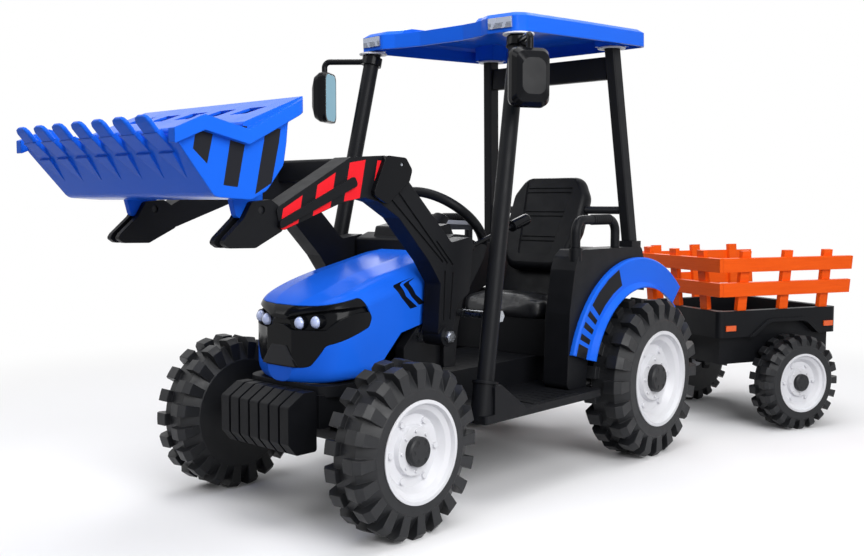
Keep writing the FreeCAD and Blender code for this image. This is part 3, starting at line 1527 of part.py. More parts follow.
def fence(places, start, end, outer):
    posts = []
    low = tub_top + part_gap
    for place in places:
        posts.append(box(outer - post_thickness, outer + wall / 2, place - post_width / 2, place + post_width / 2, low,
                         tub_top + post_height))
    return fused(posts + rails(start, end, outer))


def fence_reach(height):
    return height * math.tan(math.radians(fence_lean))


def fence_sides():
    outer = tub_half - fence_inset + post_thickness / 2
    places = [tub_front + share * tub_length for share in side_posts_shares]
    front = tub_front + fence_inset - post_thickness / 2
    high = post_height + overrun
    start = front - fence_reach(high)
    panel = fence(places, start, tub_front + tub_length + rail_overhang, outer)
    panel = turned(panel, Vec(outer + wall / 2, 0, tub_top + part_gap), Vec(0, 1, 0), fence_lean)
    end = front + 2 * part_gap
    corner = prism_x([(end, tub_top), (end - fence_reach(high), tub_top + high), (start - overrun, tub_top + high),
                      (start - overrun, tub_top)], 0, 2 * tub_half)
    return Part.makeCompound(both_sides(panel.cut(corner)))


def fence_front():
    side = tub_half - fence_inset + post_thickness / 2
    places = [share * side for share in front_posts_shares]
    end = side + rail_thickness
    high = post_height + overrun
    half = end + fence_reach(high)
    panel = fence(places, -half, half, -tub_front - fence_inset + post_thickness / 2)
    panel.rotate(Vec(0, 0, 0), Vec(0, 0, 1), -90)
    hinge = Vec(0, tub_front + fence_inset - post_thickness / 2 - wall / 2, tub_top + part_gap)
    corner = prism_y([(end, tub_top), (half, tub_top + high), (half + overrun, tub_top + high),
                      (half + overrun, tub_top)], tub_front - tub_half, tub_front + tub_half)
    return turned(panel, hinge, Vec(1, 0, 0), fence_lean).cut(Part.makeCompound(both_sides(corner)))


def reflectors():
    pieces = []
    z = tub_top - tub_depth + reflector_rise_share * tub_depth
    start = tub_half + part_gap
    for share in reflector_places_shares:
        y = tub_front + share * tub_length
        pieces += both_sides(box(start, start + reflector_thickness, y - reflector_length / 2,
                                 y + reflector_length / 2, z - reflector_height / 2, z + reflector_height / 2))
    return Part.makeCompound(pieces)


def trailer_axle():
    head = under_half * axle_plate_place_share - part_gap
    end = trailer_outer_half + axle_end(trailer_tyre_width)
    stub = fused([rod_x(head - wall, head, drawbar_length, trailer_tyre_radius, axle_radius + wall),
                  rod_x(head - wall, end, drawbar_length, trailer_tyre_radius, axle_radius)])
    return Part.makeCompound(both_sides(stub))


# Drive
def rear_axle():
    half = rear_outer_half + axle_end(rear_tyre_width)
    return rod_x(-half, half, wheel_base, rear_axle_height, axle_radius)


def gear_motors():
    start = chassis_half + part_gap
    end = start + motor_width
    case = prism_x([(wheel_base - motor_length / 2, rear_axle_height - motor_height / 2),
                    (wheel_base + motor_length / 2, rear_axle_height - motor_height / 2),
                    (wheel_base + motor_length / 2, rear_axle_height + motor_height / 2),
                    (wheel_base - motor_length / 2, rear_axle_height + motor_height / 2)], start, end,
                   axle_boss_radius)
    can_x = start + motor_width / 2
    can = rod(Vec(can_x, wheel_base - motor_length / 2 + wall, rear_axle_height),
              Vec(can_x, wheel_base - motor_length / 2 - motor_can_length, rear_axle_height), motor_can_radius)
    bore = rod_x(start - overrun, end + overrun, wheel_base, rear_axle_height, axle_radius + part_gap)
    return Part.makeCompound(both_sides(fused([case, can]).cut(bore)))


def battery():
    low = chassis_top + part_gap
    block = box(-battery_half, battery_half, battery_front, battery_front + battery_length, low,
                low + battery_height)
    pole = rod_z(battery_half / 2, battery_front + battery_length / 4, low, low + battery_height + edge_round,
                 edge_round)
    return fused([block] + both_sides(pole))


def wheel_nodes(nodes, name, radius, rim, width, sidewall, outer, y, swing):
    tyre_set, rim_solid = wheel(radius, rim, width, sidewall)
    for side, way in (("left", False), ("right", True)):
        for piece, shape in (("tyre", tyre_set), ("rim", rim_solid)):
            item = put(shape, outer, y, radius)
            item = mirrored(item) if way else item
            nodes[name + "_" + side + "_" + piece] = on_trailer(item) if swing else item


def build():
    nodes = {
        "chassis": chassis(),
        "front_axle_beam": front_axle_beam(),
        "knuckle_left": knuckle(),
        "knuckle_right": mirrored(knuckle()),
        "tie_rod": tie_rod(),
        "steering_shaft": steering_shaft(),
        "steering_wheel": steering_wheel(),
        "hood": hood(),
        "grille_mask": grille_mask(),
        "headlights": headlights(),
        "front_weight": front_weight(),
        "console": console(),
        "loader_lever": lever(),
        "pedal": pedal(),
        "seat_housing": seat_housing(),
        "seat_cushion": seat_cushion(),
        "seat_back": seat_back(),
        "fenders": fenders(),
        "grab_handles": grab_handles(),
        "front_posts": front_posts(),
        "rear_posts": rear_posts(),
        "rear_crossbar": rear_crossbar(),
        "seat_stays": seat_stays(),
        "post_stays": post_stays(),
        "roof": roof(),
        "roof_lamps": roof_lamps(),
        "mirror_left": mirror_housing(),
        "mirror_right": mirrored(mirror_housing()),
        "mirror_glass_left": mirror_glass_plate(),
        "mirror_glass_right": mirrored(mirror_glass_plate()),
        "loader_arm_left": loader_arm(),
        "loader_arm_right": mirrored(loader_arm()),
        "elbow_covers": elbow_covers(),
        "boom_crossbeam": boom_crossbeam(),
        "loader_pivots": loader_pivots(),
        "loader_nuts": loader_nuts(),
        "bucket_pins": bucket_pins(),
        "bucket": bucket(),
        "tow_hitch": tow_hitch(),
        "drawbar": on_trailer(drawbar()),
        "trailer_tub": on_trailer(trailer_tub()),
        "fence_front": on_trailer(fence_front()),
        "fence_sides": on_trailer(fence_sides()),
        "reflectors": on_trailer(reflectors()),
        "trailer_axle": on_trailer(trailer_axle()),
        "rear_axle": rear_axle(),
        "gear_motors": gear_motors(),
        "battery": battery(),
    }
    wheel_nodes(nodes, "front", front_tyre_radius, front_rim_radius, front_tyre_width, front_sidewall,
                front_outer_half, 0, False)
    wheel_nodes(nodes, "rear", rear_tyre_radius, rear_rim_radius, rear_tyre_width, rear_sidewall,
                rear_outer_half, wheel_base, False)
    wheel_nodes(nodes, "trailer", trailer_tyre_radius, trailer_rim_radius, trailer_tyre_width, trailer_sidewall,
                trailer_outer_half, drawbar_length, True)
    return nodes


def centre_shift(nodes):
    room = FreeCAD.BoundBox()
    for shape in nodes.values():
        room.add(shape.optimalBoundingBox(False, False))
    return Vec(-room.Center.x, -room.Center.y, -room.ZMin)


def main():
    os.makedirs("parts", exist_ok=True)
    nodes = build()
    shift = centre_shift(nodes)
    for name, shape in nodes.items():
        shape.translate(shift)
        shape.exportStep(os.path.join("parts", name + ".step"))
    print("moved by", [round(v, 4) for v in shift])
    print(len(nodes), "nodes")


if __name__ == "__main__":
    main()
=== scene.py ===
import json
import math
import bpy
from mathutils import Matrix, Vector

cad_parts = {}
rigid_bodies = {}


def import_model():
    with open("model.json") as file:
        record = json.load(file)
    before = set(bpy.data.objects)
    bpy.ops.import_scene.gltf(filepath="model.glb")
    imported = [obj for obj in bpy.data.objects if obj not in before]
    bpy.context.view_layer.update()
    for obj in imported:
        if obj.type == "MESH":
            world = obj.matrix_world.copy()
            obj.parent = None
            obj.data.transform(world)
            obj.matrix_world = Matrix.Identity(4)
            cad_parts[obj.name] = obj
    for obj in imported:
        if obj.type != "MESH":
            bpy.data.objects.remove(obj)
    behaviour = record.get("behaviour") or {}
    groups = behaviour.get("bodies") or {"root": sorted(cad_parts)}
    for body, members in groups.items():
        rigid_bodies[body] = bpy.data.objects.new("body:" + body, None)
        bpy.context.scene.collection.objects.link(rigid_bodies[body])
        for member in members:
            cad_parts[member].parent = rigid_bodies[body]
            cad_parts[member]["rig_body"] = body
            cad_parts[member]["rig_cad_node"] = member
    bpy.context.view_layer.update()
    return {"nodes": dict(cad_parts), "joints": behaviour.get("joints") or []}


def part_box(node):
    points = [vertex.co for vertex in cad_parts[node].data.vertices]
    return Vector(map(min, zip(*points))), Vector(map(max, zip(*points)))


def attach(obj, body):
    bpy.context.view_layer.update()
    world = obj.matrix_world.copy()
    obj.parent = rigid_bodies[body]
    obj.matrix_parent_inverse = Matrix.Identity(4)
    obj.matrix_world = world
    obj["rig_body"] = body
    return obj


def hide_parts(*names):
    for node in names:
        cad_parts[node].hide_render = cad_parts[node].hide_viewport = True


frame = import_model()
cadNodes = frame["nodes"]
jointAt = {joint["name"]: Vector(joint["pos_m"]) for joint in frame["joints"] if joint.get("pos_m")}
frontHub = jointAt["front_left_wheel_spin"]
origin = Vector(((frontHub.x + jointAt["front_right_wheel_spin"].x) / 2, frontHub.y, 0))  # front axle on the floor
print("frame loaded,", len(cadNodes), "nodes")


# Materials
def linear(hexColour):
    channels = [int(hexColour[i:i + 2], 16) / 255 for i in (1, 3, 5)]
    return [c / 12.92 if c <= 0.04045 else ((c + 0.055) / 1.055) ** 2.4 for c in channels] + [1.0]


def addNode(tree, kind, settings=None, inputs=None):
    node = tree.nodes.new("ShaderNode" + kind)
    for name, value in (settings or {}).items():
        setattr(node, name, value)
    for name, value in (inputs or {}).items():
        if isinstance(value, bpy.types.NodeSocket):
            tree.links.new(value, node.inputs[name])
        else:
            node.inputs[name].default_value = value
    return node


def perMetre(millimetres):  # texture scale for a grain of that size
    return 1000 / millimetres


def startMaterial(name, look):
    material = bpy.data.materials.new(name)
    material.use_nodes = True
    tree = material.node_tree
    tree.nodes.clear()
    shader = addNode(tree, "BsdfPrincipled")
    for socket, value in look.get("shader", {}).items():
        shader.inputs[socket].default_value = value
    addNode(tree, "OutputMaterial", inputs={"Surface": shader.outputs["BSDF"]})
    place = addNode(tree, "TexCoord").outputs["Object"]
    return material, tree, shader, place


def mouldedColour(tree, place, look):  # the slow drift of colour that a moulding shows
    drift = addNode(tree, "TexNoise", inputs={"Vector": place, "Scale": perMetre(look["drift"]), "Detail": 3.0})
    return addNode(tree, "Mix", {"data_type": "RGBA"},
                   {0: drift.outputs["Fac"], 6: linear(look["colour"]), 7: linear(look["shade"])}).outputs[2]


scuffRange = (0.3, 0.7)  # where most of the noise lies


def mouldedSurface(tree, shader, place, look):  # worn gloss, grain and edges that are never quite sharp
    scuff = addNode(tree, "TexNoise", inputs={"Vector": place, "Scale": perMetre(look["scuff"]), "Detail": 5.0,
                                              "Roughness": 0.6})
    gloss = addNode(tree, "MapRange", inputs={"Value": scuff.outputs["Fac"], "From Min": scuffRange[0],
                                              "From Max": scuffRange[1],
                                              "To Min": look["gloss"][0], "To Max": look["gloss"][1]})
    tree.links.new(gloss.outputs["Result"], shader.inputs["Roughness"])
    edge = addNode(tree, "Bevel", {"samples": 4}, {"Radius": look["edge"] / 1000})
    grain = addNode(tree, "TexNoise", inputs={"Vector": place, "Scale": perMetre(look["grain"]), "Detail": 2.0})
    bump = addNode(tree, "Bump", inputs={"Height": grain.outputs["Fac"], "Normal": edge.outputs["Normal"],
                                         "Strength": look["grainStrength"], "Distance": look["grainDepth"] / 1000})
    tree.links.new(bump.outputs["Normal"], shader.inputs["Normal"])


def mouldedPlastic(name, look):
    material, tree, shader, place = startMaterial(name, look)
    tree.links.new(mouldedColour(tree, place, look), shader.inputs["Base Color"])
    mouldedSurface(tree, shader, place, look)
    return material


def markedPlastic(name, look, marks):  # the same plastic with plain painted marks on it
    material, tree, shader, place = startMaterial(name, look)
    colour = mouldedColour(tree, place, look)
    for mark in marks:
        colour = addNode(tree, "Mix", {"data_type": "RGBA"},
                         {0: mark["mask"](tree, place), 6: colour, 7: linear(mark["colour"])}).outputs[2]
    tree.links.new(colour, shader.inputs["Base Color"])
    mouldedSurface(tree, shader, place, look)
    return material


def fromAxle(tree, place, across=None):  # place measured from the front axle on the floor, or from another axle
    return addNode(tree, "VectorMath", {"operation": "SUBTRACT"}, {0: place, 1: across or origin}).outputs[0]


def insideShape(tree, place, corners):  # 1 inside a convex outline drawn counter-clockwise in the side view
    inside = 1.0
    for start, end in zip(corners, corners[1:] + corners[:1]):
        normal = Vector((0, start[1] - end[1], end[0] - start[0]))
        along = addNode(tree, "VectorMath", {"operation": "DOT_PRODUCT"}, {0: place, 1: normal}).outputs["Value"]
        edge = addNode(tree, "Math", {"operation": "GREATER_THAN"}, {0: along, 1: normal.dot(Vector((0, *start)))})
        inside = addNode(tree, "Math", {"operation": "MULTIPLY"}, {0: edge.outputs[0], 1: inside}).outputs[0]
    return inside


def insideAny(tree, place, shapes):
    inside = 0.0
    for corners in shapes:
        shape = insideShape(tree, place, corners)
        inside = addNode(tree, "Math", {"operation": "MAXIMUM"}, {0: shape, 1: inside}).outputs[0]
    return inside


sideReach = 0.0012  # how far from a side face a mark still holds


def onSides(tree, place, half, mark):  # keeps a mark on the two side faces at that half width
    x = addNode(tree, "SeparateXYZ", inputs={0: place}).outputs["X"]
    side = addNode(tree, "Math", {"operation": "ABSOLUTE"}, {0: x}).outputs[0]
    face = addNode(tree, "Math", {"operation": "COMPARE"}, {0: side, 1: half, 2: sideReach}).outputs[0]
    return addNode(tree, "Math", {"operation": "MULTIPLY"}, {0: face, 1: mark}).outputs[0]


# Polypropylene, moulded against a lightly sparked tool: satin black that greys where light grazes it
satinLook = {"colour": "#0f1013", "shade": "#131417", "drift": 90, "scuff": 35, "gloss": (0.36, 0.5), "edge": 2.0,
             "grain": 2.4, "grainStrength": 0.25, "grainDepth": 0.25,  # real grain is 0.4 mm, drawn coarser to show
             "shader": {"IOR": 1.49, "Specular IOR Level": 0.11}}
satinBlack = mouldedPlastic("polypropyleneSatinBlack", satinLook)

# ABS from a polished tool: deep black with sharp reflections
polishedLook = {"colour": "#0b0c0f", "shade": "#101114", "drift": 120, "scuff": 40, "gloss": (0.1, 0.2), "edge": 2.0,
                "grain": 18, "grainStrength": 0.08, "grainDepth": 0.2,
                "shader": {"IOR": 1.53, "Specular IOR Level": 0.09}}
polishedBlack = mouldedPlastic("absPolishedBlack", polishedLook)

# ABS from a polished tool, solid blue: clear reflections over a colour that drifts slowly in tone
blueLook = {"colour": "#1d67e4", "shade": "#195edb", "drift": 160, "scuff": 60, "gloss": (0.16, 0.26), "edge": 3.0,
            "grain": 26, "grainStrength": 0.06, "grainDepth": 0.3,
            "shader": {"IOR": 1.53, "Specular IOR Level": 0.045}}
blueGloss = mouldedPlastic("absGlossBlue", blueLook)

# Polypropylene, satin white of the rims: soft highlight, faint yellowing
rimWhite = mouldedPlastic("polypropyleneSatinWhite", {
    "colour": "#dcdde2", "shade": "#d3d3d6", "drift": 60, "scuff": 25, "gloss": (0.32, 0.44), "edge": 1.5, "grain": 3,
    "grainStrength": 0.15, "grainDepth": 0.15, "shader": {"IOR": 1.49, "Specular IOR Level": 0.4}})

# Powder-coated steel: fine orange peel, low gloss
coatedSteel = mouldedPlastic("powderCoatedSteelBlack", {
    "colour": "#16171a", "shade": "#1b1c1f", "drift": 70, "scuff": 30, "gloss": (0.34, 0.46), "edge": 1.0,
    "grain": 1.6, "grainStrength": 0.35, "grainDepth": 0.12, "shader": {"IOR": 1.5, "Specular IOR Level": 0.25}})

# Zinc-plated steel: grey metal with a cloudy plate
zincSteel = mouldedPlastic("zincPlatedSteel", {
    "colour": "#b9bcc2", "shade": "#a4a8ae", "drift": 6, "scuff": 5, "gloss": (0.22, 0.36), "edge": 0.8, "grain": 1.2,
    "grainStrength": 0.1, "grainDepth": 0.05, "shader": {"Metallic": 1.0}})

# Silvered glass of the mirrors: its dark blue colour is partly a tint of the glass and partly a painted reflection
silveredGlassPaintedReflection = mouldedPlastic("silveredGlassPaintedReflection", {
    "colour": "#5a9ab4", "shade": "#6fa6bb", "drift": 50, "scuff": 30, "gloss": (0.02, 0.05), "edge": 0.5, "grain": 40,
    "grainStrength": 0.02, "grainDepth": 0.05, "shader": {"Metallic": 1.0}})

# Polycarbonate lens over a white reflector: milky blue with a hard shine
lampLens = mouldedPlastic("polycarbonateLens", {
    "colour": "#c9d2ee", "shade": "#9fb0e2", "drift": 7, "scuff": 6, "gloss": (0.05, 0.1), "edge": 0.8, "grain": 4,
    "grainStrength": 0.1, "grainDepth": 0.2, "shader": {"IOR": 1.58, "Coat Weight": 0.6}})

# Moulded PMMA reflector: amber prisms
amberPrisms = mouldedPlastic("pmmaAmberReflector", {
    "colour": "#e8631c", "shade": "#d24a10", "drift": 3, "scuff": 8, "gloss": (0.08, 0.16), "edge": 0.6, "grain": 3,
    "grainStrength": 0.5, "grainDepth": 0.4, "shader": {"IOR": 1.49}})


# Polypropylene boards of the trailer: orange with a moulded wood grain along each board
def boardPlastic(name, look):
    material, tree, shader, place = startMaterial(name, look)
    swung = addNode(tree, "Mapping", inputs={"Vector": place, "Rotation": (0, 0, math.radians(look["swing"]))})
    long = addNode(tree, "Mapping", inputs={"Vector": swung.outputs[0], "Scale": look["stretch"]})
    grain = addNode(tree, "TexNoise", inputs={"Vector": long.outputs[0], "Scale": perMetre(look["grain"]),
                                              "Detail": 6.0, "Roughness": 0.65, "Distortion": look["warp"]})
    colour = addNode(tree, "Mix", {"data_type": "RGBA"},
                     {0: grain.outputs["Fac"], 6: linear(look["colour"]), 7: linear(look["shade"])})
    tree.links.new(colour.outputs[2], shader.inputs["Base Color"])
    edge = addNode(tree, "Bevel", {"samples": 4}, {"Radius": look["edge"] / 1000})
    bump = addNode(tree, "Bump", inputs={"Height": grain.outputs["Fac"], "Normal": edge.outputs["Normal"],
                                         "Strength": look["grainStrength"], "Distance": look["grainDepth"] / 1000})
    tree.links.new(bump.outputs["Normal"], shader.inputs["Normal"])
    gloss = addNode(tree, "MapRange", inputs={"Value": grain.outputs["Fac"], "To Min": look["gloss"][0],
                                              "To Max": look["gloss"][1]})
    tree.links.new(gloss.outputs["Result"], shader.inputs["Roughness"])
    return material


trailerSwing = -24.4
boards = {"colour": "#fb6414", "shade": "#e04c08", "swing": -trailerSwing, "gloss": (0.3, 0.5), "edge": 1.5,
          "grain": 9, "grainStrength": 0.5, "grainDepth": 0.8, "warp": 0.4,
          "shader": {"IOR": 1.49, "Specular IOR Level": 0.15}}
orangeBoards = boardPlastic("polypropyleneBoardOrange", dict(boards, stretch=(1.0, 0.07, 1.0)))
orangeCrossBoards = boardPlastic("polypropyleneBoardOrangeAcross", dict(boards, stretch=(0.07, 1.0, 1.0)))

# Painted stripes, in the side view from the front axle, in metres
armStripes = {"half": 0.188, "shapes": (
    ((-0.2193, 0.6152), (-0.2280, 0.5749), (-0.1858, 0.5898), (-0.1753, 0.6387)),
    ((-0.1401, 0.6574), (-0.1520, 0.6017), (-0.1098, 0.6165), (-0.0960, 0.6808)),
    ((-0.0608, 0.6996), (-0.0762, 0.6281), (-0.0358, 0.6343), (-0.0204, 0.7060)),
    ((0.0108, 0.7060), (-0.0035, 0.6393), (0.0368, 0.6456), (0.0498, 0.7060)))}
bucketStripes = {"halves": (0.230, 0.240), "heights": (0.613, 0.7252), "shapes": (
    ((-0.4320, 0.7480), (-0.4377, 0.7082), (-0.4104, 0.6857), (-0.3986, 0.7480)),
    ((-0.3652, 0.7480), (-0.3780, 0.6530), (-0.3500, 0.6501), (-0.3348, 0.7480)),
    ((-0.2980, 0.7480), (-0.3146, 0.6390), (-0.2813, 0.6577), (-0.2660, 0.7480)))}
chevrons = (((0.1154, 0.4550), (0.1343, 0.4316), (0.1473, 0.4340), (0.1342, 0.4585)),
            ((0.1343, 0.4316), (0.1595, 0.4076), (0.1805, 0.4105), (0.1473, 0.4340)),
            ((0.1154, 0.4546), (0.1342, 0.4578), (0.1461, 0.4659), (0.1182, 0.4585)),
            ((0.1384, 0.4621), (0.1757, 0.4719), (0.1461, 0.4659), (0.1402, 0.4643)),
            ((0.1432, 0.4570), (0.1628, 0.4327), (0.1758, 0.4368), (0.1601, 0.4591)),
            ((0.1628, 0.4327), (0.1850, 0.4141), (0.2063, 0.4154), (0.1758, 0.4368)),
            ((0.1432, 0.4570), (0.1601, 0.4591), (0.1621, 0.4635), (0.1564, 0.4641), (0.1452, 0.4595)),
            ((0.1564, 0.4641), (0.1618, 0.4628), (0.1714, 0.4666), (0.1807, 0.4711), (0.1675, 0.4674)))
badge = ((-0.0505, 0.3053), (0.0505, 0.3053), (0.0213, 0.3450), (-0.0213, 0.3450))  # in the front view
fenderBand = {"radii": (0.247, 0.289), "half": 0.2623,
              "spans": ((110, 120), (120, 130), (130, 138), (141, 144), (147, 150), (153, 156), (158, 164))}


def armMask(tree, place):
    near = fromAxle(tree, place)
    return onSides(tree, near, armStripes["half"], insideAny(tree, near, armStripes["shapes"]))


def bucketMask(tree, place):  # the side walls draw in towards the floor
    near = fromAxle(tree, place)
    z = addNode(tree, "SeparateXYZ", inputs={0: near}).outputs["Z"]
    (low, high), (foot, top) = bucketStripes["heights"], bucketStripes["halves"]
    half = addNode(tree, "MapRange", inputs={"Value": z, "From Min": low, "From Max": high,
                                             "To Min": foot, "To Max": top})
    return onSides(tree, near, half.outputs["Result"], insideAny(tree, near, bucketStripes["shapes"]))


def chevronMask(tree, place):
    return insideAny(tree, fromAxle(tree, place), chevrons)


def badgeMask(tree, place):
    turned = addNode(tree, "Mapping", inputs={"Vector": fromAxle(tree, place), "Rotation": (0, 0, math.pi / 2)})
    return insideShape(tree, turned.outputs[0], badge)


def fenderMask(tree, place):
    hub = jointAt["rear_left_wheel_spin"]
    near = fromAxle(tree, place, Vector((origin.x, hub.y, hub.z)))
    inner, outer = fenderBand["radii"]
    shapes = []
    for span in fenderBand["spans"]:
        (y0, z0), (y1, z1) = [(math.cos(math.radians(turn)), math.sin(math.radians(turn))) for turn in span]
        shapes.append(((y0 * inner, z0 * inner), (y0 * outer, z0 * outer), (y1 * outer, z1 * outer),
                       (y1 * inner, z1 * inner)))
    return onSides(tree, near, fenderBand["half"], insideAny(tree, near, shapes))


bucketBlue = markedPlastic("absGlossBlueStriped", blueLook, [{"mask": bucketMask, "colour": "#24252a"}])
hoodBlue = markedPlastic("absGlossBlueChevrons", blueLook, [{"mask": chevronMask, "colour": "#10131c"}])
fenderBlue = markedPlastic("absGlossBlueBanded", blueLook, [{"mask": fenderMask, "colour": "#1b1c20"}])
maskBlack = markedPlastic("absPolishedBlackBadge", polishedLook, [{"mask": badgeMask, "colour": "#26272b"}])
armBlack = markedPlastic("polypropyleneSatinBlackStriped", satinLook, [{"mask": armMask, "colour": "#dd1f29"}])

spokes = {"middle": 0.067, "reach": 0.033, "tilt": 42.0}


def spokeMask(tree, place):
    level = addNode(tree, "Mapping", {"vector_type": "TEXTURE"},
                    {"Vector": place, "Location": jointAt["steering_turn"],
                     "Rotation": (math.radians(-spokes["tilt"]), 0, 0)})
    flat = addNode(tree, "VectorMath", {"operation": "MULTIPLY"}, {0: level.outputs[0], 1: (1, 1, 0)})
    radius = addNode(tree, "VectorMath", {"operation": "LENGTH"}, {0: flat.outputs[0]}).outputs["Value"]
    return addNode(tree, "Math", {"operation": "COMPARE"},
                   {0: radius, 1: spokes["middle"], 2: spokes["reach"]}).outputs[0]


steeringBlack = markedPlastic("polypropyleneSatinBlackSilverSpokes", satinLook,
                              [{"mask": spokeMask, "colour": "#8f929c"}])


# Lamp strip of the roof: silver film above, pressed mesh below, its cells painted dark as painted shade inside the
# mesh's openings
def lampStrip(name, look):
    material, tree, shader, place = startMaterial(name, look)
    height = addNode(tree, "SeparateXYZ", inputs={0: place}).outputs["Z"]
    cells = addNode(tree, "TexVoronoi", {"feature": "DISTANCE_TO_EDGE"},
                    {"Vector": place, "Scale": perMetre(look["mesh"]), "Randomness": look["wobble"]})
    # the cells of the mesh take the shade colour: painted shade inside the openings
    shadedOpening = addNode(tree, "Math", {"operation": "GREATER_THAN"}, {0: cells.outputs["Distance"], 1: look["wire"]})
    low = addNode(tree, "Math", {"operation": "LESS_THAN"}, {0: height, 1: look["split"]})
    mesh = addNode(tree, "Math", {"operation": "MULTIPLY"}, {0: shadedOpening.outputs[0], 1: low.outputs[0]})
    colour = addNode(tree, "Mix", {"data_type": "RGBA"},
                     {0: mesh.outputs[0], 6: linear(look["colour"]), 7: linear(look["shade"])})
    tree.links.new(colour.outputs[2], shader.inputs["Base Color"])
    mouldedSurface(tree, shader, place, look)
    return material


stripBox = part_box("roof_lamps")
# its shade is the colour of the painted shade inside the mesh's openings
silverStrip = lampStrip("chromedAbsLampStrip", {
    "colour": "#a9b0bf", "shade": "#3a3e49", "mesh": 2.6, "wire": 0.14, "wobble": 0.15,
    "split": (stripBox[0].z + stripBox[1].z) / 2, "scuff": 20,
    "gloss": (0.2, 0.32), "edge": 0.8, "grain": 5, "grainStrength": 0.1, "grainDepth": 0.1,
    "shader": {"Metallic": 0.6}})
print("materials made")

# Blow-moulded polyethylene tyre: dull black, a moulded ring round the rim and a row of small blocks between the lugs
tyreLook = {"colour": "#17181a", "shade": "#1f2023", "drift": 45, "scuff": 20, "gloss": (0.36, 0.52), "edge": 2.5,
            "grain": 2.6, "grainStrength": 0.25, "grainDepth": 0.12, "block": 7.0, "blockShare": 0.55, "ring": 1.3,
            "relief": 1.0, "reliefStrength": 0.6,
            "shader": {"IOR": 1.5, "Specular IOR Level": 0.3}}
wheels = {"front": {"side": 0.117, "radius": 0.152, "width": 0.097, "yaw": 0.0},
          "rear": {"side": 0.144, "radius": 0.178, "width": 0.11, "yaw": 0.0},
          "trailer": {"side": 0.1015, "radius": 0.12, "width": 0.079, "yaw": trailerSwing}}


def tyrePlastic(name, look, wheel, hub):
    material, tree, shader, place = startMaterial(name, look)
    tree.links.new(mouldedColour(tree, place, look), shader.inputs["Base Color"])
    mouldedSurface(tree, shader, place, look)
    axle = addNode(tree, "Mapping", {"vector_type": "TEXTURE"},
                   {"Vector": place, "Location": hub, "Rotation": (0, 0, math.radians(wheel["yaw"]))})
    flat = addNode(tree, "VectorMath", {"operation": "MULTIPLY"}, {0: axle.outputs[0], 1: (0, 1, 1)})
    radius = addNode(tree, "VectorMath", {"operation": "LENGTH"}, {0: flat.outputs[0]}).outputs["Value"]
    x, y, z = addNode(tree, "SeparateXYZ", inputs={0: axle.outputs[0]}).outputs
    side = addNode(tree, "Math", {"operation": "ABSOLUTE"}, {0: x})
    shoulder, blockSize = wheel["width"] / 2, look["block"] / 1000
    band = addNode(tree, "Math", {"operation": "COMPARE"}, {0: side.outputs[0], 1: shoulder, 2: blockSize})
    row = addNode(tree, "Math", {"operation": "GREATER_THAN"}, {0: side.outputs[0], 1: shoulder})
    turn = addNode(tree, "Math", {"operation": "ARCTAN2"}, {0: z, 1: y})
    count = round(math.tau * wheel["radius"] / (2 * blockSize))
    turns = addNode(tree, "Math", {"operation": "MULTIPLY"}, {0: turn.outputs[0], 1: count / math.tau})
    half = addNode(tree, "Math", {"operation": "MULTIPLY_ADD"}, {0: row.outputs[0], 1: 0.5, 2: turns.outputs[0]})
    phase = addNode(tree, "Math", {"operation": "FRACT"}, {0: half.outputs[0]})
    block = addNode(tree, "Math", {"operation": "LESS_THAN"}, {0: phase.outputs[0], 1: look["blockShare"]})
    tread = addNode(tree, "Math", {"operation": "GREATER_THAN"}, {0: radius, 1: wheel["side"]})
    blocks = addNode(tree, "Math", {"operation": "MULTIPLY"}, {0: block.outputs[0], 1: band.outputs[0]})
    raised = addNode(tree, "Math", {"operation": "MULTIPLY"}, {0: blocks.outputs[0], 1: tread.outputs[0]})
    ring = addNode(tree, "Math", {"operation": "COMPARE"}, {0: radius, 1: wheel["side"], 2: look["ring"] / 2000})
    height = addNode(tree, "Math", {"operation": "SUBTRACT"}, {0: raised.outputs[0], 1: ring.outputs[0]})
    form = addNode(tree, "Bump", inputs={"Height": height.outputs[0], "Strength": look["reliefStrength"],
                                         "Distance": look["relief"] / 1000,
                                         "Normal": shader.inputs["Normal"].links[0].from_socket})
    tree.links.new(form.outputs["Normal"], shader.inputs["Normal"])
    return material


tyreFinish = {}
for axle, wheel in wheels.items():
    for side in ("left", "right"):
        corner = f"{axle}_{side}"
        tyreFinish[corner + "_tyre"] = tyrePlastic("polyethyleneTyre" + axle.title() + side.title(), tyreLook, wheel,
                                                   jointAt[corner + "_wheel_spin"])

finishes = {
    satinBlack: ["chassis", "front_weight", "console", "pedal", "seat_housing", "seat_back", "grab_handles",
                 "front_posts", "rear_posts", "rear_crossbar", "boom_crossbeam", "trailer_tub", "gear_motors",
                 "battery"],
    polishedBlack: ["elbow_covers", "loader_lever", "mirror_left", "mirror_right"], maskBlack: ["grille_mask"],
    blueGloss: ["roof"], bucketBlue: ["bucket"], hoodBlue: ["hood"], fenderBlue: ["fenders"],
    armBlack: ["loader_arm_left", "loader_arm_right"], steeringBlack: ["steering_wheel"],
    orangeBoards: ["fence_sides"], orangeCrossBoards: ["fence_front"], amberPrisms: ["reflectors"],
    coatedSteel: ["front_axle_beam", "knuckle_left", "knuckle_right", "seat_stays", "bucket_pins", "tow_hitch",
                  "drawbar", "trailer_axle"],
    zincSteel: ["tie_rod", "steering_shaft", "post_stays", "loader_pivots", "loader_nuts", "rear_axle"],
    lampLens: ["headlights"], silverStrip: ["roof_lamps"], silveredGlassPaintedReflection: ["mirror_glass_left", "mirror_glass_right"],
    **{material: [name] for name, material in tyreFinish.items()},
    rimWhite: [name for name in cadNodes if name.endswith("_rim")],
}
for material, names in finishes.items():
    for name in names:
        for place in cadNodes[name].material_slots:
            place.material = material


# Camera where the photograph was taken from
view = {"azimuth": 42.15, "elevation": 4.23, "roll": 0.11, "distance": 2.3223, "lens": 41.91, "sensor": 36,
        "target": Vector((0.0001, 0.3734, 0.4531))}


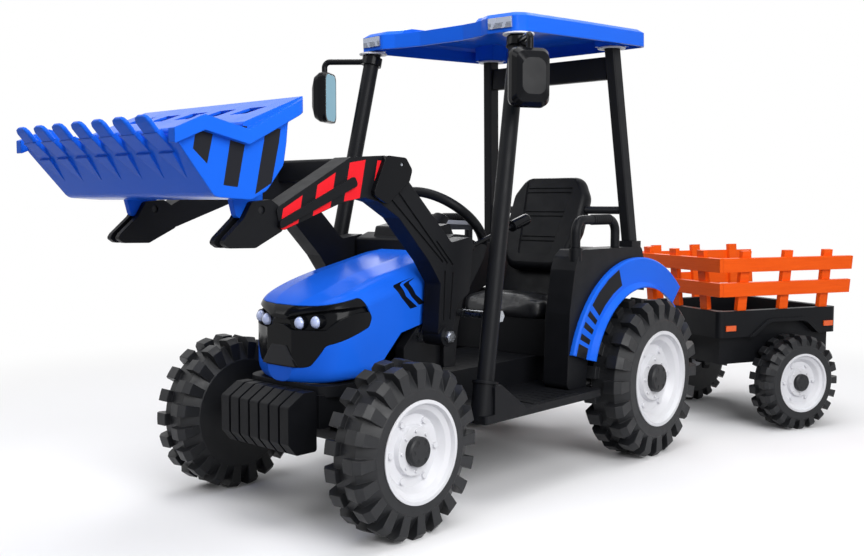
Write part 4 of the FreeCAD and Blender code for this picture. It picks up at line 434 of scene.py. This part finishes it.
def aimCamera():
    turn, lift, roll = (math.radians(view[name]) for name in ("azimuth", "elevation", "roll"))
    back = Vector((math.sin(turn) * math.cos(lift), -math.cos(turn) * math.cos(lift), math.sin(lift)))
    right = (-back).cross(Vector((0, 0, 1))).normalized()
    up = right.cross(-back)
    right, up = right * math.cos(roll) + up * math.sin(roll), up * math.cos(roll) - right * math.sin(roll)
    bpy.ops.object.camera_add()
    camera = bpy.context.object
    camera.data.lens = view["lens"]
    camera.data.sensor_width = view["sensor"]
    camera.matrix_world = Matrix.Translation(origin + view["target"] + back * view["distance"]) @ \
        Matrix((right, up, back)).transposed().to_4x4()
    bpy.context.scene.camera = camera


bpy.ops.object.select_all(action="DESELECT")
aimCamera()

# Studio: pale floor that runs out to white, soft boxes to the right, left, above and behind
studio = {"floorSize": 30.0, "floor": "#efeff1", "bounce": "#aaaaae", "clear": (1.3, 2.6), "sky": 0.3,
          "aim": Vector((0, 0.5, 0.4)),
          "boxes": (("keyBox", (2.7, -0.7, 1.9), 2.0, 94), ("fillBox", (-1.8, -1.6, 2.6), 1.6, 20),
                    ("topBox", (0.2, 0.3, 3.3), 2.6, 72), ("backBox", (-1.8, 2.8, 2.2), 1.8, 30))}


def seenRays(tree):  # 1 for what the camera sees, straight or in a mirror or through a lens
    path = addNode(tree, "LightPath").outputs
    seen = path["Is Camera Ray"]
    for kind in ("Is Glossy Ray", "Is Transmission Ray"):
        seen = addNode(tree, "Math", {"operation": "MAXIMUM"}, {0: seen, 1: path[kind]}).outputs[0]
    return seen


def floorMaterial():
    material = bpy.data.materials.new("paleFloor")
    material.use_nodes = True
    tree = material.node_tree
    tree.nodes.clear()
    seen = seenRays(tree)
    tone = addNode(tree, "Mix", {"data_type": "RGBA"},
                   {0: seen, 6: linear(studio["bounce"]), 7: linear(studio["floor"])})
    paint = addNode(tree, "BsdfDiffuse", inputs={"Color": tone.outputs[2]})
    white = addNode(tree, "Emission", inputs={"Strength": 1.0})
    place = addNode(tree, "TexCoord").outputs["Object"]
    away = addNode(tree, "VectorMath", {"operation": "LENGTH"}, {0: place})
    fade = addNode(tree, "MapRange", {"interpolation_type": "SMOOTHSTEP"},
                   {"Value": away.outputs["Value"], "From Min": studio["clear"][0], "From Max": studio["clear"][1]})
    bright = addNode(tree, "Math", {"operation": "MULTIPLY"}, {0: fade.outputs["Result"], 1: seen})
    mixed = addNode(tree, "MixShader", inputs={"Fac": bright.outputs[0], 1: paint.outputs[0], 2: white.outputs[0]})
    addNode(tree, "OutputMaterial", inputs={"Surface": mixed.outputs[0]})
    return material


def lightStudio():
    bpy.ops.mesh.primitive_plane_add(size=studio["floorSize"])
    floor = bpy.context.object
    floor.name = "floor"
    floor.data.materials.append(floorMaterial())
    for name, place, size, power in studio["boxes"]:
        stand = origin + Vector(place)
        bpy.ops.object.light_add(type="AREA", location=stand)
        box = bpy.context.object
        box.name = name
        box.data.shape = "SQUARE"
        box.data.size = size
        box.data.energy = power
        box.rotation_euler = (origin + studio["aim"] - stand).to_track_quat("-Z", "Y").to_euler()
    world = bpy.data.worlds.new("studioSky")
    world.use_nodes = True
    tree = world.node_tree
    tree.nodes.clear()
    level = addNode(tree, "MapRange", inputs={"Value": seenRays(tree), "To Min": studio["sky"], "To Max": 1.0})
    sky = addNode(tree, "Background", inputs={"Strength": level.outputs["Result"]})
    sky.inputs["Color"].default_value = (1, 1, 1, 1)
    addNode(tree, "OutputWorld", inputs={"Surface": sky.outputs[0]})
    bpy.context.scene.world = world
    bpy.context.scene.view_settings.view_transform = "Standard"


lightStudio()
print("camera and studio set")


# Leatherette seat cushion, blown up by the cloth solver from a slightly smaller block
cushion = {"voxel": 0.005, "pressure": 4.0, "cap": 0.009, "shrink": 0.985, "foot": 0.006, "frames": 20,
           "weld": 0.00005}
leatheretteLook = {"colour": "#17181b", "shade": "#1e1f23", "drift": 30, "scuff": 14, "gloss": (0.26, 0.4),
                   "edge": 1.0, "grain": 2.2, "grainStrength": 0.35, "grainDepth": 0.3,
                   "shader": {"IOR": 1.5, "Specular IOR Level": 0.45}}
leatherette = mouldedPlastic("pvcLeatherette", leatheretteLook)


def seatCushion():
    low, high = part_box("seat_cushion")
    bpy.ops.object.select_all(action="DESELECT")
    piece = cadNodes["seat_cushion"].copy()
    piece.data = piece.data.copy()
    piece.parent = None
    piece.name = "seatCushionCover"
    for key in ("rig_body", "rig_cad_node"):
        del piece[key]
    bpy.context.scene.collection.objects.link(piece)
    bpy.context.view_layer.objects.active = piece
    piece.select_set(True)
    bpy.ops.object.mode_set(mode="EDIT")
    bpy.ops.mesh.select_all(action="SELECT")
    bpy.ops.mesh.remove_doubles(threshold=cushion["weld"])
    middle = (low + high) / 2
    bpy.ops.transform.resize(value=(cushion["shrink"], cushion["shrink"], cushion["shrink"]),
                             center_override=(middle.x, middle.y, low.z))
    bpy.ops.object.mode_set(mode="OBJECT")
    piece.data.remesh_voxel_size = cushion["voxel"]
    bpy.ops.object.voxel_remesh()
    rest = [vertex.co.copy() for vertex in piece.data.vertices]
    held = piece.vertex_groups.new(name="held")
    held.add([i for i, co in enumerate(rest) if co.z < low.z + cushion["foot"]], 1.0, "REPLACE")
    cloth = piece.modifiers.new("blow", "CLOTH")
    cloth.settings.use_pressure = True
    cloth.settings.uniform_pressure_force = cushion["pressure"]
    cloth.settings.effector_weights.gravity = 0
    cloth.settings.vertex_group_mass = "held"
    for number in range(1, cushion["frames"] + 1):
        bpy.context.scene.frame_set(number)
    bpy.ops.object.modifier_apply(modifier="blow")
    bpy.context.scene.frame_set(1)
    for vertex, start in zip(piece.data.vertices, rest):
        moved = vertex.co - start
        if moved.length > cushion["cap"]:
            vertex.co = start + moved * (cushion["cap"] / moved.length)
    smooth = piece.modifiers.new("round", "SUBSURF")
    smooth.levels = smooth.render_levels = 1
    bpy.ops.object.modifier_apply(modifier="round")
    bpy.ops.object.shade_smooth()
    piece.data.materials.clear()
    piece.data.materials.append(leatherette)
    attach(piece, "tractor")
    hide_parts("seat_cushion")


seatCushion()
print("seat cushion blown up")


# Small trim, each shape modelled once and copied to its places
smoothAngle = math.radians(40)


def startPiece():
    bpy.ops.object.select_all(action="DESELECT")


def applyModifier(piece, kind, settings):
    modifier = piece.modifiers.new(kind.title(), kind)
    for name, value in settings.items():
        setattr(modifier, name, value)
    bpy.ops.object.modifier_apply(modifier=modifier.name)


def selectFaces(piece, test):
    bpy.ops.object.mode_set(mode="EDIT")
    bpy.ops.mesh.select_mode(type="FACE")
    bpy.ops.mesh.select_all(action="DESELECT")
    bpy.ops.object.mode_set(mode="OBJECT")
    for face in piece.data.polygons:
        face.select = test(face)
    bpy.ops.object.mode_set(mode="EDIT")


def facesUp(face):
    return face.normal.z > 0.9


def setOut(model, name, places, material, body):  # copies of a model, each with its own mesh
    for number, place in enumerate(places):
        piece = model.copy()
        piece.data = model.data.copy()
        piece.name = name + str(number + 1)
        bpy.context.scene.collection.objects.link(piece)
        piece.data.transform(place)
        piece.data.materials.append(material)
        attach(piece, body)
    bpy.data.objects.remove(model)


def spot(x, y, z, tilt=0.0):  # a place measured from the front axle, leaned back about X
    return Matrix.Translation(origin + Vector((x, y, z))) @ Matrix.Rotation(math.radians(tilt), 4, "X")


# Turned ring: a tube end with a wall and broken edges, its axis along Z
def ringModel(outer, wallThickness, depth, edge):
    startPiece()
    bpy.ops.mesh.primitive_cylinder_add(vertices=56, radius=outer, depth=depth, end_fill_type="NOTHING")
    piece = bpy.context.object
    applyModifier(piece, "SOLIDIFY", {"thickness": wallThickness, "offset": -1.0})
    applyModifier(piece, "BEVEL", {"width": edge, "segments": 3, "limit_method": "ANGLE"})
    bpy.ops.object.shade_smooth_by_angle(angle=smoothAngle)
    return piece


lampTubes = {"outer": 0.0142, "wall": 0.0018, "depth": 0.016, "edge": 0.0006, "dome": (0.0123, 0.0115), "back": 0.006,
             "places": ((0.05, -0.066, 0.391), (0.084, -0.054, 0.394))}
postWashers = {"outer": 0.034, "wall": 0.0135, "depth": 0.004, "edge": 0.0012,
               "places": ((0.2217, 0.4035, 0.9868), (0.1911, 0.8223, 1.0078))}


def lampDomeModel():  # moulded cover of a lamp, its axis along Z
    startPiece()
    radius, height = lampTubes["dome"]
    bpy.ops.mesh.primitive_uv_sphere_add(segments=40, ring_count=20, radius=radius)
    bpy.ops.transform.resize(value=(1, 1, height / radius))
    bpy.ops.object.transform_apply(location=False, rotation=False, scale=True)
    bpy.ops.object.shade_smooth()
    return bpy.context.object


def trimRings():
    both = [(side * x, y, z) for x, y, z in lampTubes["places"] for side in (1, -1)]
    setOut(lampDomeModel(), "lampDome", [spot(*place, 90) for place in both], lampLens, "tractor")
    ring = ringModel(lampTubes["outer"], lampTubes["wall"], lampTubes["depth"], lampTubes["edge"])
    setOut(ring, "lampTube", [spot(x, y + lampTubes["back"], z, 90) for x, y, z in both], polishedBlack, "tractor")
    both = [(side * x, y, z) for x, y, z in postWashers["places"] for side in (1, -1)]
    ring = ringModel(postWashers["outer"], postWashers["wall"], postWashers["depth"], postWashers["edge"])
    setOut(ring, "postWasher", [spot(*place) for place in both], rimWhite, "tractor")


trimRings()

# Horn pad: a stepped disc with a soft dome on the steering hub
hornPad = {"radius": 0.023, "height": 0.006, "step": 0.005, "rise": 0.003, "edge": 0.0012, "lift": 0.0145}


def hornPadModel():
    startPiece()
    bpy.ops.mesh.primitive_cylinder_add(vertices=48, radius=hornPad["radius"], depth=hornPad["height"])
    piece = bpy.context.object
    selectFaces(piece, facesUp)
    bpy.ops.mesh.inset(thickness=hornPad["step"])
    bpy.ops.mesh.extrude_region_move(TRANSFORM_OT_translate={"value": (0, 0, hornPad["rise"])})
    bpy.ops.mesh.inset(thickness=hornPad["step"])
    bpy.ops.transform.translate(value=(0, 0, hornPad["rise"] / 2))
    bpy.ops.object.mode_set(mode="OBJECT")
    applyModifier(piece, "BEVEL", {"width": hornPad["edge"], "segments": 3, "limit_method": "ANGLE"})
    bpy.ops.object.shade_smooth_by_angle(angle=smoothAngle)
    return piece


hubPlace = jointAt["steering_turn"] - origin
lean = math.radians(spokes["tilt"])
setOut(hornPadModel(), "hornPad", [spot(hubPlace.x, hubPlace.y + math.sin(lean) * hornPad["lift"],
                                        hubPlace.z + math.cos(lean) * hornPad["lift"], -spokes["tilt"])],
       polishedBlack, "steering")

# Socket screw: a round head with a round socket, its axis along Z
socketScrew = {"radius": 0.0036, "head": 0.003, "rim": 0.0016, "socket": 0.0018, "edge": 0.0004,
               "place": (0.1949, 0.06835, 0.69957)}


def screwModel():
    startPiece()
    bpy.ops.mesh.primitive_cylinder_add(vertices=24, radius=socketScrew["radius"], depth=socketScrew["head"])
    piece = bpy.context.object
    selectFaces(piece, facesUp)
    bpy.ops.mesh.inset(thickness=socketScrew["rim"])
    bpy.ops.mesh.extrude_region_move(TRANSFORM_OT_translate={"value": (0, 0, -socketScrew["socket"])})
    bpy.ops.object.mode_set(mode="OBJECT")
    applyModifier(piece, "BEVEL", {"width": socketScrew["edge"], "segments": 2, "limit_method": "ANGLE"})
    bpy.ops.object.shade_smooth_by_angle(angle=smoothAngle)
    return piece


def sideways(x, y, z):  # a screw that points outwards through a side face
    return Matrix.Translation(origin + Vector((x, y, z))) @ Matrix.Rotation(math.copysign(math.pi / 2, x), 4, "Y")


screwX, screwY, screwZ = socketScrew["place"]
elbowScrews = [sideways(side * screwX, screwY, screwZ) for side in (1, -1)]
setOut(screwModel(), "elbowScrew", elbowScrews, zincSteel, "boom")

# Side walls of the roof's dip: they close the slit that the CAD skin leaves beside its floor
dipWalls = {"size": (0.003, 0.0774, 0.0071), "across": 0.1136, "behind": 0.0673, "under": 0.0267, "slope": 7.9}


def dipWallModel():
    startPiece()
    bpy.ops.mesh.primitive_cube_add(size=1)
    bpy.ops.transform.resize(value=dipWalls["size"])
    bpy.ops.object.transform_apply(location=False, rotation=False, scale=True)
    return bpy.context.object


roofLow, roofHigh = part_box("roof")
dipY, dipZ = roofLow[1] - origin.y + dipWalls["behind"], roofHigh[2] - dipWalls["under"]
dipPlaces = [spot(side * dipWalls["across"], dipY, dipZ, dipWalls["slope"]) for side in (1, -1)]
setOut(dipWallModel(), "roofDipWall", dipPlaces, blueGloss, "tractor")
print("trim set out")
